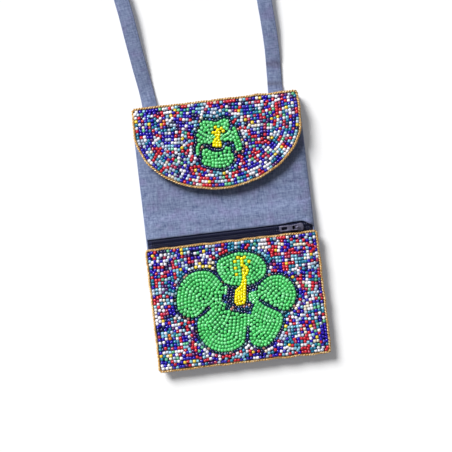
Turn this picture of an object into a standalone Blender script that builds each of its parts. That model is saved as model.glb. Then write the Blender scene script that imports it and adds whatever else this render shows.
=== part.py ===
"""A crossbody pouch of chambray with beaded panels, lying on its back.

Metres, +Z up. The origin is the middle of the back panel's flat outer face. +Y runs from
the bottom seam towards the mouth and the strap, +Z from the back to the beaded front.
"""

import math

import bmesh
import bpy
from mathutils import Vector

MM = 0.001

# Cloth pouch
POUCH_WIDTH = 125 * MM
POUCH_HEIGHT = 194 * MM
CLOTH = 0.8 * MM
LINING = 0.5 * MM
GAP = 0.3 * MM  # clearance between pieces that touch
COMPARTMENT_DEPTH = 4.3 * MM
POCKET_DEPTH = 2.3 * MM
SEAM_LIFT = 2.6 * MM  # how far the side and bottom seams stand off the table
SHOULDER = 15 * MM  # from a seam to where the pouch has its full thickness
MOUTH_SETBACK = 12 * MM  # the front ends this far below the top of the back
SIDE_INSET = 0.6 * MM  # the inner layers end this far inside the back's edge

# Beaded panel
PANEL_HEIGHT = 92 * MM
PANEL_OVERHANG = 1.4 * MM  # the panel reaches this far below the bottom seam
PANEL_SIDE_OVERHANG = 2 * MM  # and this far beyond each side seam
PANEL_CORNER = 3 * MM
TRIM_DIAMETER = 2 * MM
BEAD_HEIGHT = 1.8 * MM
BEAD_ROW = 5.5 * MM  # row spacing on the petals, drawn coarser than the beads
FIELD_ROW = 8 * MM  # and on the mixed fields, coarser still
ROW_GROOVE = 0.6 * MM
OUTLINE_WIDTH = 2.2 * MM

# Zip
ZIP_GAP = 7 * MM  # between the panel's trim and the hem of the upper front
COIL_WIDTH = 4.6 * MM
COIL_HEIGHT = 1.4 * MM
COIL_SLIT = 1.2 * MM
COIL_PITCH = 4.5 * MM  # drawn coarser than a real coil
TAPE_WIDTH = 11 * MM
TAPE_THICKNESS = 0.5 * MM
POCKET_TAPER = 12 * MM  # above the tape, the zip pocket closes up over this length
SLIDER_LENGTH = 10.2 * MM
SLIDER_WIDTH = 5.6 * MM
SLIDER_PLATE = 0.7 * MM
SLIDER_WEB = 0.6 * MM
SLIDER_SETBACK = 8.3 * MM  # from the side seam to the slider when the zip is closed
SLIDER_CLEARANCE = 0.4 * MM
CROWN_WIRE = 1.0 * MM
CROWN_LENGTH = 5 * MM
PULL_LENGTH = 13.6 * MM
PULL_WIDTH = 4.2 * MM
PULL_THICKNESS = 0.8 * MM
PULL_BAR = 0.9 * MM  # the bar that turns under the crown
PULL_PLAY = 0.2 * MM
PULL_DROOP = 2.5  # degrees from level to where the pull rests on the slider's edge
PULL_WINDOW = (4.2 * MM, 2.1 * MM)
PULL_FRAME = 1.6 * MM  # from the free end to the window

# Flap
FLAP_INSET = 0.2 * MM  # the flap's trim ends this far inside each side seam
FLAP_SIDE = 20 * MM  # the straight part of each side
FLAP_CURVE = 47 * MM  # from there down to the middle of the rim
FLAP_OVERHANG = 1.4 * MM  # the flap's trim reaches this far above the back panel
FLAP_CORNER = 3 * MM
FLAP_LIFT = 2.6 * MM
FLAP_DIP = 3.8 * MM  # how far the flap bends down to its hinge
HINGE_SETBACK = 1.2 * MM
SNAP_DIAMETER = 13 * MM
SNAP_THICKNESS = 0.85 * MM
SNAP_SETBACK = 50 * MM  # below the top of the back panel

# Strap
STRAP_WIDTH = 11 * MM
STRAP_THICKNESS = 1.8 * MM
STRAP_TUCK = 9 * MM  # the ends lie this far in on the back panel
STRAP_EXIT = 1.5 * MM  # and stay level until this far beyond it
STRAP_LEFT = -48.4 * MM
STRAP_RIGHT = 45.8 * MM
STRAP_SPACING = 16 * MM  # between the points of the strap's path

# Strap route, chosen by hand: each leg from the pouch to the coil, then the coil.
# A leg's points are x, y and how far the strap bows up off the table, clear of the open flap.
LEFT_LEG = (
    (-49.6, 111, 0), (-52.2, 128, 1.5), (-55.2, 149, 3.4),
    (-58.2, 171, 4.6), (-62.5, 196, 3.4), (-67.4, 224, 0.5),
)
RIGHT_LEG = (
    (46.4, 111, 0), (47, 129, 1.5), (46.6, 148, 3.4),
    (45.6, 166, 4.6), (45.4, 188, 3.9), (46.4, 212, 0.5),
)
COIL_X = -4 * MM
COIL_Y = 255 * MM
COIL_RADIUS = 66 * MM
COIL_SHIFT = 6 * MM  # each turn lies this far inside the one before
COIL_STEP = 2.2 * MM  # and this far above it
COIL_TURNS = 2.5
COIL_CLIMB = (290, 325)  # degrees into a turn between which the strap climbs a level

# Hibiscus on the panel: outline points are shares of the flower's width
HIBISCUS_ABOVE = 7.7 * MM  # from the flower's dark outline to the panel's upper edge
HIBISCUS_BELOW = 8 * MM  # and to its lower edge
HIBISCUS_SHIFT = 1.8 * MM  # the throat lies this far right of the middle
HIBISCUS_PETALS = {
    "top": (
        (0.04, 0.254),
        (
            (-0.113, 0.153), (-0.147, 0.215), (-0.165, 0.282), (-0.147, 0.346),
            (-0.056, 0.377), (0.023, 0.393), (0.136, 0.373), (0.212, 0.32), (0.246, 0.249),
            (0.22, 0.175), (0.156, 0.131), (0.096, 0.115), (0, 0.117), (-0.068, 0.131),
        ),
    ),
    "right": (
        (0.305, 0.028),
        (
            (0.142, 0.045), (0.166, 0.095), (0.226, 0.145), (0.294, 0.169), (0.373, 0.153),
            (0.435, 0.096), (0.466, 0.017), (0.452, -0.062), (0.412, -0.119),
            (0.354, -0.136), (0.305, -0.113), (0.249, -0.072), (0.186, -0.027),
            (0.149, 0.006),
        ),
    ),
    "lower_right": (
        (0.17, -0.232),
        (
            (0.138, -0.02), (0.183, -0.066), (0.243, -0.106), (0.323, -0.158),
            (0.331, -0.209), (0.305, -0.271), (0.26, -0.339), (0.212, -0.386),
            (0.156, -0.414), (0.099, -0.405), (0.052, -0.374), (0.038, -0.328),
            (0.052, -0.237), (0.063, -0.17), (0.079, -0.113), (0.11, -0.062),
        ),
    ),
    "lower_left": (
        (-0.17, -0.22),
        (
            (-0.153, -0.032), (-0.211, -0.02), (-0.258, -0.054), (-0.305, -0.09),
            (-0.367, -0.124), (-0.384, -0.189), (-0.376, -0.254), (-0.339, -0.33),
            (-0.282, -0.386), (-0.211, -0.415), (-0.136, -0.419), (-0.06, -0.395),
            (-0.014, -0.367), (0.007, -0.302), (0.023, -0.237), (0.035, -0.17),
            (0.035, -0.127), (0, -0.118), (-0.068, -0.095), (-0.122, -0.068),
        ),
    ),
    "left": (
        (-0.33, 0.09),
        (
            (-0.142, 0.045), (-0.16, 0.009), (-0.215, 0.008), (-0.271, -0.02),
            (-0.324, -0.058), (-0.373, -0.098), (-0.429, -0.102), (-0.486, -0.079),
            (-0.52, -0.04), (-0.531, 0.011), (-0.525, 0.079), (-0.503, 0.15),
            (-0.455, 0.212), (-0.39, 0.259), (-0.314, 0.273), (-0.24, 0.263),
            (-0.188, 0.22), (-0.139, 0.153), (-0.122, 0.107),
        ),
    ),
}
HIBISCUS_THROAT = (
    (-0.107, 0.096), (-0.04, 0.107), (0.09, 0.102), (0.114, 0.085), (0.136, 0.028),
    (0.122, -0.009), (0.085, -0.073), (0.051, -0.107), (-0.003, -0.102), (-0.077, -0.07),
    (-0.122, -0.023), (-0.138, 0.028),
)
HIBISCUS_STAMEN = (
    (-0.052, -0.033), (-0.005, -0.047), (0.038, -0.033), (0.05, 0.045), (0.066, 0.13),
    (0.07, 0.185), (0.096, 0.215), (0.092, 0.26), (0.066, 0.29), (0.062, 0.345),
    (0.036, 0.345), (0.04, 0.22), (0.026, 0.13), (-0.02, 0.09), (-0.038, 0.05),
)

# Side view of a hibiscus on the flap, in the same way
FLAP_FLOWER_ABOVE = 13.3 * MM  # from the flower's dark outline to the flap's upper edge
FLAP_FLOWER_BELOW = 13 * MM  # and to the middle of its rim
FLAP_FLOWER_SHIFT = -0.9 * MM
FLAP_FLOWER_PETALS = {
    "top": (
        (-0.02, 0.36),
        (
            (-0.36, 0.37), (-0.33, 0.478), (-0.2, 0.507), (-0.085, 0.472), (-0.01, 0.45),
            (0.075, 0.467), (0.18, 0.507), (0.255, 0.484), (0.29, 0.376), (0.25, 0.262),
            (0.18, 0.21), (0.1, 0.19), (-0.14, 0.19), (-0.2, 0.22), (-0.29, 0.29),
        ),
    ),
    "left": (
        None,
        (
            (-0.42, 0.28), (-0.45, 0.21), (-0.428, 0.13), (-0.44, 0.045), (-0.486, -0.03),
            (-0.5, -0.12), (-0.487, -0.205), (-0.44, -0.21), (-0.42, -0.1), (-0.385, -0.02),
            (-0.31, 0.03), (-0.22, 0.015), (-0.17, -0.03), (-0.16, 0.06), (-0.21, 0.12),
            (-0.3, 0.17), (-0.36, 0.22),
        ),
    ),
    "right": (
        None,
        (
            (0.36, 0.31), (0.405, 0.28), (0.44, 0.155), (0.475, 0.03), (0.5, -0.117),
            (0.48, -0.222), (0.42, -0.24), (0.36, -0.19), (0.34, -0.1), (0.32, -0.02),
            (0.24, 0.02), (0.13, 0.008), (0.12, 0.08), (0.2, 0.11), (0.28, 0.15),
            (0.32, 0.22),
        ),
    ),
    "bottom": (
        (-0.04, -0.34),
        (
            (-0.365, -0.146), (-0.32, -0.085), (-0.25, -0.095), (-0.185, -0.15),
            (-0.085, -0.19), (0.03, -0.195), (0.1, -0.17), (0.155, -0.1), (0.215, -0.09),
            (0.26, -0.155), (0.262, -0.23), (0.31, -0.306), (0.3, -0.388), (0.235, -0.46),
            (0.15, -0.522), (0.035, -0.55), (-0.1, -0.528), (-0.243, -0.478),
            (-0.36, -0.435), (-0.394, -0.365), (-0.368, -0.254),
        ),
    ),
}
FLAP_FLOWER_STAMEN = (
    (-0.125, -0.065), (0.06, -0.1), (0.07, -0.03), (0.04, 0.08), (0.065, 0.17),
    (0.075, 0.26), (0.02, 0.3), (-0.04, 0.26), (-0.045, 0.12), (-0.09, 0.07),
)

# Each finish: colour, roughness, metallic
FINISHES = {
    "chambray": ((0.17, 0.23, 0.43), 0.9, 0.0),
    "lining": ((0.12, 0.16, 0.32), 0.9, 0.0),
    "confetti_beads": ((0.26, 0.16, 0.42), 0.3, 0.0),
    "green_beads": ((0.07, 0.52, 0.13), 0.3, 0.0),
    "dark_beads": ((0.01, 0.03, 0.07), 0.25, 0.2),
    "yellow_beads": ((0.9, 0.72, 0.02), 0.3, 0.0),
    "gold_trim": ((0.68, 0.4, 0.09), 0.4, 0.7),
    "zip_tape": ((0.02, 0.025, 0.07), 0.9, 0.0),
    "zip_coil": ((0.02, 0.022, 0.06), 0.5, 0.0),
    "gunmetal": ((0.14, 0.12, 0.18), 0.35, 0.8),
    "snap_metal": ((0.6, 0.58, 0.52), 0.3, 1.0),
}

# Worked out from the sizes above
HALF_WIDTH = POUCH_WIDTH / 2
BOTTOM = -POUCH_HEIGHT / 2
TOP = POUCH_HEIGHT / 2
PANEL_HALF = HALF_WIDTH + PANEL_SIDE_OVERHANG
PANEL_BOTTOM = BOTTOM - PANEL_OVERHANG
PANEL_TOP = PANEL_BOTTOM + PANEL_HEIGHT
ZIP_LINE = PANEL_TOP + ZIP_GAP / 2
FRONT_HEM = PANEL_TOP + ZIP_GAP
TAPE_END = ZIP_LINE + COIL_SLIT / 2 + TAPE_WIDTH
POCKET_END = TAPE_END + POCKET_TAPER
MOUTH = TOP - MOUTH_SETBACK
FLAP_HALF = HALF_WIDTH - FLAP_INSET
FLAP_TOP = TOP + FLAP_OVERHANG
FLAP_RIM = FLAP_TOP - FLAP_SIDE - FLAP_CURVE
FLAP_LAYERS = LINING + CLOTH + BEAD_HEIGHT + 2 * GAP
HINGE_Y = TOP - HINGE_SETBACK
TRIM_RADIUS = TRIM_DIAMETER / 2
SEAM_POCKET = TAPE_THICKNESS + 2 * GAP
CUTTER_SPAN = (-FLAP_LAYERS, 3 * (COMPARTMENT_DEPTH + POCKET_DEPTH + FLAP_LAYERS))
STRAP_REST = STRAP_THICKNESS / 2 + 0.05 * MM  # the height of its centre on the table


# Scene, materials and objects


def clear_scene():
    for obj in list(bpy.data.objects):
        bpy.data.objects.remove(obj, do_unlink=True)


def new_collection(name):
    collection = bpy.data.collections.new(name)
    bpy.context.scene.collection.children.link(collection)
    return collection


def new_material(name, finish):
    colour, roughness, metallic = FINISHES[finish]
    material = bpy.data.materials.new(f"{name}_{finish}")
    material.use_nodes = True
    shader = material.node_tree.nodes["Principled BSDF"]
    shader.inputs["Base Color"].default_value = (*colour, 1)
    shader.inputs["Roughness"].default_value = roughness
    shader.inputs["Metallic"].default_value = metallic
    material.diffuse_color = (*colour, 1)
    return material


def add_part(name, data, finish, origin=(0, 0, 0)):
    obj = bpy.data.objects.new(name, data)
    obj.location = origin
    data.materials.append(new_material(name, finish))
    parts.objects.link(obj)
    return obj


def mesh_from(name, bm, origin=(0, 0, 0)):
    """The bmesh, drawn in world coordinates, as a mesh whose own origin is the given point."""
    bmesh.ops.recalc_face_normals(bm, faces=bm.faces)
    bmesh.ops.translate(bm, verts=bm.verts, vec=-Vector(origin))
    mesh = bpy.data.meshes.new(name)
    bm.to_mesh(mesh)
    bm.free()
    return mesh


def add_cutter(name, bm):
    obj = bpy.data.objects.new(name, mesh_from(name, bm))
    obj.hide_render = True
    obj.display_type = "WIRE"
    cutters.objects.link(obj)
    return obj


def boolean(obj, operation, *others):
    for other in others:
        modifier = obj.modifiers.new(f"{operation.lower()}_{other.name}", "BOOLEAN")
        modifier.operation = operation
        modifier.object = other
        modifier.solver = "EXACT"


# Heights of the layers above the table, at a place (x, y)


def ease_out(share):
    """From 0 to 1, steep at first and level at the end."""
    return 1 - (1 - min(max(share, 0), 1)) ** 3


def ease(share):
    share = min(max(share, 0), 1)
    return share * share * (3 - 2 * share)


def fullness(x, y):
    """0 on the side and bottom seams, 1 where the pouch has its full thickness."""
    return ease_out((HALF_WIDTH - abs(x)) / SHOULDER) * ease_out((y - BOTTOM) / SHOULDER)


def back_under(x, y):
    return SEAM_LIFT * (1 - fullness(x, y))


def back_top(x, y):
    return back_under(x, y) + CLOTH


def divider_under(x, y):
    return back_top(x, y) + GAP + (COMPARTMENT_DEPTH - GAP) * fullness(x, y)


def divider_top(x, y):
    return divider_under(x, y) + LINING


def front_under(x, y):
    """The zip pocket is open below the zip and closes up above the tape."""
    pocket = SEAM_POCKET + (POCKET_DEPTH - SEAM_POCKET) * fullness(x, y)
    return divider_top(x, y) + GAP + (pocket - GAP) * (1 - ease((y - TAPE_END) / POCKET_TAPER))


def front_top(x, y):
    return front_under(x, y) + CLOTH


def flap_under(x, y):
    return front_top(x, y) + FLAP_LIFT - FLAP_DIP * ease((y - MOUTH) / MOUTH_SETBACK)


def above(height, offset):
    """The height function of a layer that lies a fixed distance above another."""
    return lambda x, y: height(x, y) + offset


beads_under = above(front_top, GAP)
beads_top = above(beads_under, BEAD_HEIGHT)
flap_base_under = above(flap_under, LINING + GAP)
flap_base_top = above(flap_base_under, CLOTH)
flap_beads_under = above(flap_base_top, GAP)
flap_beads_top = above(flap_beads_under, BEAD_HEIGHT)
HINGE_Z = flap_under(0, TOP) + FLAP_LAYERS / 2


# Slabs that follow the layers


def edge_lines(edge, inward):
    """Grid lines close together near a seam, where the cloth bends most."""
    return [edge + inward * SHOULDER * share for share in (0, 0.15, 0.45, 1)]


COLUMNS = edge_lines(-HALF_WIDTH, 1) + [0] + edge_lines(HALF_WIDTH, -1)[::-1]
ROWS = (
    edge_lines(BOTTOM, 1)
    + [TAPE_END + POCKET_TAPER * share for share in (0, 0.5, 1)]
    + [MOUTH + MOUTH_SETBACK * share for share in (0, 0.25, 0.5, 0.75, 1)]
)


def grid_lines(low, high, shared):
    """The shared grid lines between two edges, with the edges themselves."""
    margin = 0.5 * MM
    return [low] + [line for line in shared if low + margin < line < high - margin] + [high]


def ridge_lines(low, high):
    """Lines for the crests and grooves of a mixed field, with the shared lines above the mouth."""
    end = min(high, MOUTH)
    count = round(2 * (end - low) / FIELD_ROW)
    lines = [low + (end - low) * i / count for i in range(count + 1)]
    return lines[:-1] + grid_lines(end, high, ROWS) if high > end else lines


def slab(x_range, y_range, under, top, columns=None, ridges=False):
    """A closed slab whose two faces follow height functions, on shared grid lines.

    With ridges, every other line of its top is a groove between two rows of beads.
    """
    columns = columns or grid_lines(*x_range, COLUMNS)
    rows = ridge_lines(*y_range) if ridges else grid_lines(*y_range, ROWS)
    bm = bmesh.new()
    bmesh.ops.create_grid(bm, x_segments=len(columns) - 1, y_segments=len(rows) - 1, size=1)
    raised = bmesh.ops.extrude_face_region(bm, geom=bm.faces[:])["geom"]
    raised = {item for item in raised if isinstance(item, bmesh.types.BMVert)}
    for vert in bm.verts:
        x = columns[round((vert.co.x + 1) / 2 * (len(columns) - 1))]
        row = round((vert.co.y + 1) / 2 * (len(rows) - 1))
        y = rows[row]
        groove = ROW_GROOVE if ridges and row % 2 == 0 else 0
        vert.co = (x, y, top(x, y) - groove if vert in raised else under(x, y))
    return bm


def smooth_outline(points, steps=2):
    """A closed smooth curve through the points (Catmull-Rom)."""
    found = []
    for i in range(len(points)):
        a, b, c, d = (Vector(points[(i + k) % len(points)]) for k in (-1, 0, 1, 2))
        for step in range(steps):
            t = step / steps
            found.append(
                0.5 * (2 * b + (c - a) * t + (2 * a - 5 * b + 4 * c - d) * t**2
                       + (3 * b - a - 3 * c + d) * t**3)
            )
    return found


def placed(points, width, centre):
    return [Vector((centre[0] + x * width, centre[1] + y * width)) for x, y in points]


def grown(points, distance):
    """A closed outline moved outwards by a distance."""
    count = len(points)
    turn = sum(points[i - 1].cross(points[i]) for i in range(count))
    found = []
    for i, point in enumerate(points):
        along = (points[(i + 1) % count] - points[i - 1]).normalized()
        outward = Vector((along.y, -along.x)) * math.copysign(1, turn)
        found.append(point + outward * distance)
    return found


def rounded_rectangle(x_range, y_range, radius, steps=3):
    (left, right), (low, high) = x_range, y_range
    corners = ((right, high, 0), (left, high, 90), (left, low, 180), (right, low, 270))
    found = []
    for x, y, start in corners:
        centre = Vector((x - math.copysign(radius, x), y - math.copysign(radius, y - (low + high) / 2)))
        for step in range(steps + 1):
            angle = math.radians(start + 90 * step / steps)
            found.append(centre + radius * Vector((math.cos(angle), math.sin(angle))))
    return found


def panel_outline(inset):
    half = PANEL_HALF - inset
    y_range = (PANEL_BOTTOM + inset, PANEL_TOP - inset)
    return rounded_rectangle((-half, half), y_range, PANEL_CORNER - inset)


def flap_outline(inset, steps=20, corner_steps=3):
    """Straight top and sides, and half an ellipse below."""
    half, top = FLAP_HALF - inset, FLAP_TOP - inset
    radius = FLAP_CORNER - inset
    found = []
    for side in (1, -1):
        for step in range(corner_steps + 1):
            share = step / corner_steps if side > 0 else 1 - step / corner_steps
            angle = math.radians(90 * share)
            across = side * (half - radius + radius * math.cos(angle))
            found.append(Vector((across, top - radius + radius * math.sin(angle))))
    curve_top = FLAP_TOP - FLAP_SIDE
    for step in range(steps + 1):
        angle = math.pi * (1 + step / steps)
        found.append(Vector((half * math.cos(angle), curve_top + (FLAP_CURVE - inset) * math.sin(angle))))
    return found


def prism(outline, low, high):
    """An upright block on an outline, as a cutter."""
    bm = bmesh.new()
    face = bm.faces.new([bm.verts.new((point.x, point.y, low)) for point in outline])
    raised = bmesh.ops.extrude_face_region(bm, geom=[face])["geom"]
    raised = [item for item in raised if isinstance(item, bmesh.types.BMVert)]
    bmesh.ops.translate(bm, verts=raised, vec=(0, 0, high - low))
    return bm


def outline_cutter(name, outline):
    return add_cutter(name, prism(outline, *CUTTER_SPAN))


def ring_heights(reach, row):
    """Each ring of a bead pad, from its edge inwards, as (share of the outline, height)."""
    if not row:
        return [(1, BEAD_HEIGHT)]
    count = max(round(reach / row), 1)
    rings = [(1, BEAD_HEIGHT - ROW_GROOVE)]
    for i in range(count):
        rings.append((1 - (i + 0.5) / count, BEAD_HEIGHT))
        if i < count - 1:
            rings.append((1 - (i + 1) / count, BEAD_HEIGHT - ROW_GROOVE))
    return rings


def bead_pad(outline, hub, under, row=0):
    """A pad of beads. With a row spacing, its rows follow the outline and each is a ridge."""
    bm = bmesh.new()
    face = bm.faces.new([bm.verts.new((point.x, point.y, 0)) for point in outline])
    reach = sum((point - hub).length for point in outline) / len(outline)
    scale = 1
    for share, height in ring_heights(reach, row):
        made = bmesh.ops.extrude_face_region(bm, geom=[face, *face.edges])["geom"]
        face = next(item for item in made if isinstance(item, bmesh.types.BMFace))
        for vert in face.verts:
            flat = hub + (vert.co.xy - hub) * share / scale
            vert.co = (flat.x, flat.y, height)
        scale = share
    for vert in bm.verts:
        vert.co.z += under(vert.co.x, vert.co.y)
    return bm


# Cloth shell


def make_shell():
    inner = HALF_WIDTH - SIDE_INSET
    side = (-inner, inner)
    back = slab((-HALF_WIDTH, HALF_WIDTH), (BOTTOM, TOP), back_under, back_top)
    add_part("back_panel", mesh_from("back_panel", back), "chambray")
    divider = slab(side, (BOTTOM + SIDE_INSET, MOUTH), divider_under, divider_top)
    add_part("pocket_divider", mesh_from("pocket_divider", divider), "lining")
    front = slab(side, (FRONT_HEM, MOUTH), front_under, front_top)
    add_part("upper_front_panel", mesh_from("upper_front_panel", front), "chambray")


# Beaded panel with its flower


def panel_slab(name, inset, under, top, finish, ridges=False):
    half = PANEL_HALF - inset
    y_range = (PANEL_BOTTOM + inset, PANEL_TOP - inset)
    shape = slab((-half, half), y_range, under, top, ridges=ridges)
    obj = add_part(name, mesh_from(name, shape), finish)
    boolean(obj, "INTERSECT", outline_cutter(f"{name}_edge", panel_outline(inset)))
    return obj


def trim_cord(name, outline, under):
    """A round cord that lies along an outline on top of a layer."""
    curve = bpy.data.curves.new(name, "CURVE")
    curve.dimensions = "3D"
    curve.bevel_depth = TRIM_RADIUS
    curve.bevel_resolution = 1
    spline = curve.splines.new("POLY")
    spline.points.add(len(outline) - 1)
    for point, place in zip(spline.points, outline):
        point.co = (place.x, place.y, under(place.x, place.y) + GAP + TRIM_RADIUS, 1)
    spline.use_cyclic_u = True
    return add_part(name, curve, "gold_trim")


def with_crossings(outline):
    """The outline with a point where each long side crosses a shared grid line."""
    margin = 1 * MM
    found = []
    for i, point in enumerate(outline):
        step = outline[(i + 1) % len(outline)] - point
        shares = [0]
        for axis, lines in enumerate((COLUMNS, ROWS)):
            if abs(step[axis]) > margin:
                shares += [(line - point[axis]) / step[axis] for line in lines]
        near = margin / step.length
        kept = sorted(share for share in shares if share == 0 or near < share < 1 - near)
        found += [point + step * share for share in kept]
    return found


def make_flower(name, petals, heart, stamen, shift, y_range, under):
    """Green petals and a yellow stamen in a dark outline that also fills the flower's heart.

    The flower, with its outline, fills the given range. Returns the cutters that clear its
    place in the field of beads.
    """
    heights = [y for _, points in petals.values() for _, y in points]
    width = (y_range[1] - y_range[0] - 2 * OUTLINE_WIDTH) / (max(heights) - min(heights))
    centre = (shift, y_range[0] + OUTLINE_WIDTH - min(heights) * width)
    gaps, outer_edges, clearings = [], [], []
    for petal, (middle, points) in petals.items():
        petal_name = f"{name}_petal_{petal}"
        outline = placed(smooth_outline(points), width, centre)
        hub = placed([middle], width, centre)[0] if middle else outline[0]
        shape = bead_pad(outline, hub, under, BEAD_ROW if middle else 0)
        add_part(petal_name, mesh_from(petal_name, shape), "green_beads")
        gaps.append(outline_cutter(f"{petal_name}_gap", grown(outline, GAP)))
        rough = placed(points, width, centre)
        outer_edges.append(outline_cutter(f"{petal_name}_outer", grown(rough, OUTLINE_WIDTH)))
        clearings.append(outline_cutter(f"{petal_name}_clearing", grown(rough, OUTLINE_WIDTH + GAP)))

    stamen = placed(smooth_outline(stamen), width, centre)
    shape = bead_pad(stamen, stamen[0], under)
    add_part(f"{name}_stamen", mesh_from(f"{name}_stamen", shape), "yellow_beads")
    stamen_gap = outline_cutter(f"{name}_stamen_gap", grown(stamen, GAP))
    boolean(bpy.data.objects[f"{name}_petal_top"], "DIFFERENCE", stamen_gap)

    heart = placed(heart, width, centre)
    clearings.append(outline_cutter(f"{name}_heart_clearing", grown(heart, OUTLINE_WIDTH + GAP)))
    flower_shape = outline_cutter(f"{name}_shape", grown(heart, OUTLINE_WIDTH))
    boolean(flower_shape, "UNION", *outer_edges)
    x_range = (centre[0] - width, centre[0] + width)
    y_range = (centre[1] - width, centre[1] + width)
    bed = slab(x_range, y_range, under, above(under, BEAD_HEIGHT))
    bed = add_part(f"{name}_outline", mesh_from(f"{name}_outline", bed), "dark_beads")
    boolean(bed, "INTERSECT", flower_shape)
    boolean(bed, "DIFFERENCE", *gaps, stamen_gap)
    return clearings


def make_panel():
    panel_slab("beaded_panel_base", TRIM_RADIUS, front_under, front_top, "chambray")
    field = panel_slab(
        "panel_beadwork", TRIM_DIAMETER + GAP, beads_under, beads_top, "confetti_beads", ridges=True
    )
    trim_cord("panel_edging", with_crossings(panel_outline(TRIM_RADIUS)), front_top)

    clearings = make_flower(
        "hibiscus", HIBISCUS_PETALS, HIBISCUS_THROAT, HIBISCUS_STAMEN, HIBISCUS_SHIFT,
        (PANEL_BOTTOM + HIBISCUS_BELOW, PANEL_TOP - HIBISCUS_ABOVE), beads_under,
    )
    boolean(field, "DIFFERENCE", *clearings)


# Zip


def coil(name, y_range):
    """One row of the coil, with a ridge for each few turns."""
    end = HALF_WIDTH - SIDE_INSET
    count = 2 * round(end / COIL_PITCH) + 1
    columns = [-end + 2 * end * i / (2 * count) for i in range(2 * count + 1)]
    shape = slab((-end, end), y_range, front_under, above(front_under, COIL_HEIGHT), columns)
    for vert in shape.verts:
        column = round((vert.co.x + end) / (2 * end) * 2 * count)
        if column % 2 and vert.co.z > front_under(vert.co.x, vert.co.y) + COIL_HEIGHT / 2:
            vert.co.z -= COIL_HEIGHT / 3
    add_part(name, mesh_from(name, shape), "zip_coil")


def make_zip_tapes():
    end = HALF_WIDTH - SIDE_INSET
    tape_top = above(front_under, -GAP)
    tape_under = above(tape_top, -TAPE_THICKNESS)
    near, far, coil_far = COIL_SLIT / 2, COIL_SLIT / 2 + TAPE_WIDTH, COIL_WIDTH / 2
    for name, side in (("upper", 1), ("lower", -1)):
        tape = sorted((ZIP_LINE + side * near, ZIP_LINE + side * far))
        label = f"zip_tape_{name}"
        add_part(label, mesh_from(label, slab((-end, end), tape, tape_under, tape_top)), "zip_tape")
        coil(f"zip_coil_{name}", sorted((ZIP_LINE + side * near, ZIP_LINE + side * coil_far)))


def box(x_range, y_range, z_range):
    bm = bmesh.new()
    bmesh.ops.create_cube(bm, size=1)
    ends = (x_range, y_range, z_range)
    for vert in bm.verts:
        vert.co = [low if part < 0 else high for part, (low, high) in zip(vert.co, ends)]
    return bm


def make_slider():
    """Two plates joined by a web that parts the coil, and a crown that holds the pull."""
    right = HALF_WIDTH - SLIDER_SETBACK
    left = right - SLIDER_LENGTH
    middle = (left + right) / 2
    half = SLIDER_WIDTH / 2
    coil_top = front_under(0, ZIP_LINE) + COIL_HEIGHT
    tape_under = front_under(0, ZIP_LINE) - GAP - TAPE_THICKNESS
    upper = (coil_top + GAP, coil_top + GAP + SLIDER_PLATE)
    lower = (tape_under - SLIDER_CLEARANCE - SLIDER_PLATE, tape_under - SLIDER_CLEARANCE)

    shoulder = left + 0.55 * SLIDER_LENGTH
    waist = 0.78 * half
    shape = [
        (left, -waist), (shoulder, -waist), (right - 0.2 * SLIDER_LENGTH, -half),
        (right, -0.7 * half), (right, 0.7 * half), (right - 0.2 * SLIDER_LENGTH, half),
        (shoulder, waist), (left, waist),
    ]
    outline = [Vector((x, ZIP_LINE + y)) for x, y in shape]
    origin = (middle, ZIP_LINE, upper[1])
    plate = mesh_from("zip_slider", prism(outline, *upper), origin)
    body = add_part("zip_slider", plate, "gunmetal", origin)
    round_edges(body, 0.25 * MM)

    under_plate = add_cutter("slider_under_plate", prism(outline, *lower))
    web_length = 0.3 * SLIDER_LENGTH
    web = box(
        (right - web_length - 0.5 * MM, right - 0.5 * MM),
        (ZIP_LINE - SLIDER_WEB / 2, ZIP_LINE + SLIDER_WEB / 2),
        ((lower[0] + lower[1]) / 2, (upper[0] + upper[1]) / 2),
    )
    bar_reach = math.hypot(PULL_BAR, PULL_THICKNESS) / 2 + PULL_PLAY
    feet = (middle - CROWN_LENGTH / 2, middle + CROWN_LENGTH / 2)
    crown = crown_arch(feet, upper[1], 2 * bar_reach)
    boolean(body, "UNION", under_plate, add_cutter("slider_web", web), crown)
    make_pull(middle, upper[1] + bar_reach)


def round_edges(obj, width):
    bevel = obj.modifiers.new("rounded_edges", "BEVEL")
    bevel.width = width
    bevel.segments = 1
    bevel.limit_method = "ANGLE"


def crown_arch(feet, plate_top, inner_height):
    """A bent wire over the plate, from foot to foot."""
    wire = CROWN_WIRE / 2
    rise = inner_height + wire
    low, high = feet[0] + wire, feet[1] - wire
    bend = 0.3 * rise
    shape = [
        (low, -SLIDER_PLATE / 2), (low, rise - bend), (low + bend, rise),
        (high - bend, rise), (high, rise - bend), (high, -SLIDER_PLATE / 2),
    ]
    curve = bpy.data.curves.new("slider_crown", "CURVE")
    curve.dimensions = "3D"
    curve.bevel_depth = wire
    curve.bevel_resolution = 1
    curve.use_fill_caps = True
    spline = curve.splines.new("POLY")
    spline.points.add(len(shape) - 1)
    for point, (x, z) in zip(spline.points, shape):
        point.co = (x, ZIP_LINE, plate_top + z, 1)
    guide = bpy.data.objects.new("crown_guide", curve)
    cutters.objects.link(guide)
    bpy.context.view_layer.update()
    bm = bmesh.new()
    solid = guide.evaluated_get(bpy.context.evaluated_depsgraph_get())
    bm.from_mesh(bpy.data.meshes.new_from_object(solid))
    bmesh.ops.remove_doubles(bm, verts=bm.verts, dist=0.01 * MM)
    bpy.data.objects.remove(guide, do_unlink=True)
    return add_cutter("slider_crown", bm)


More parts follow.
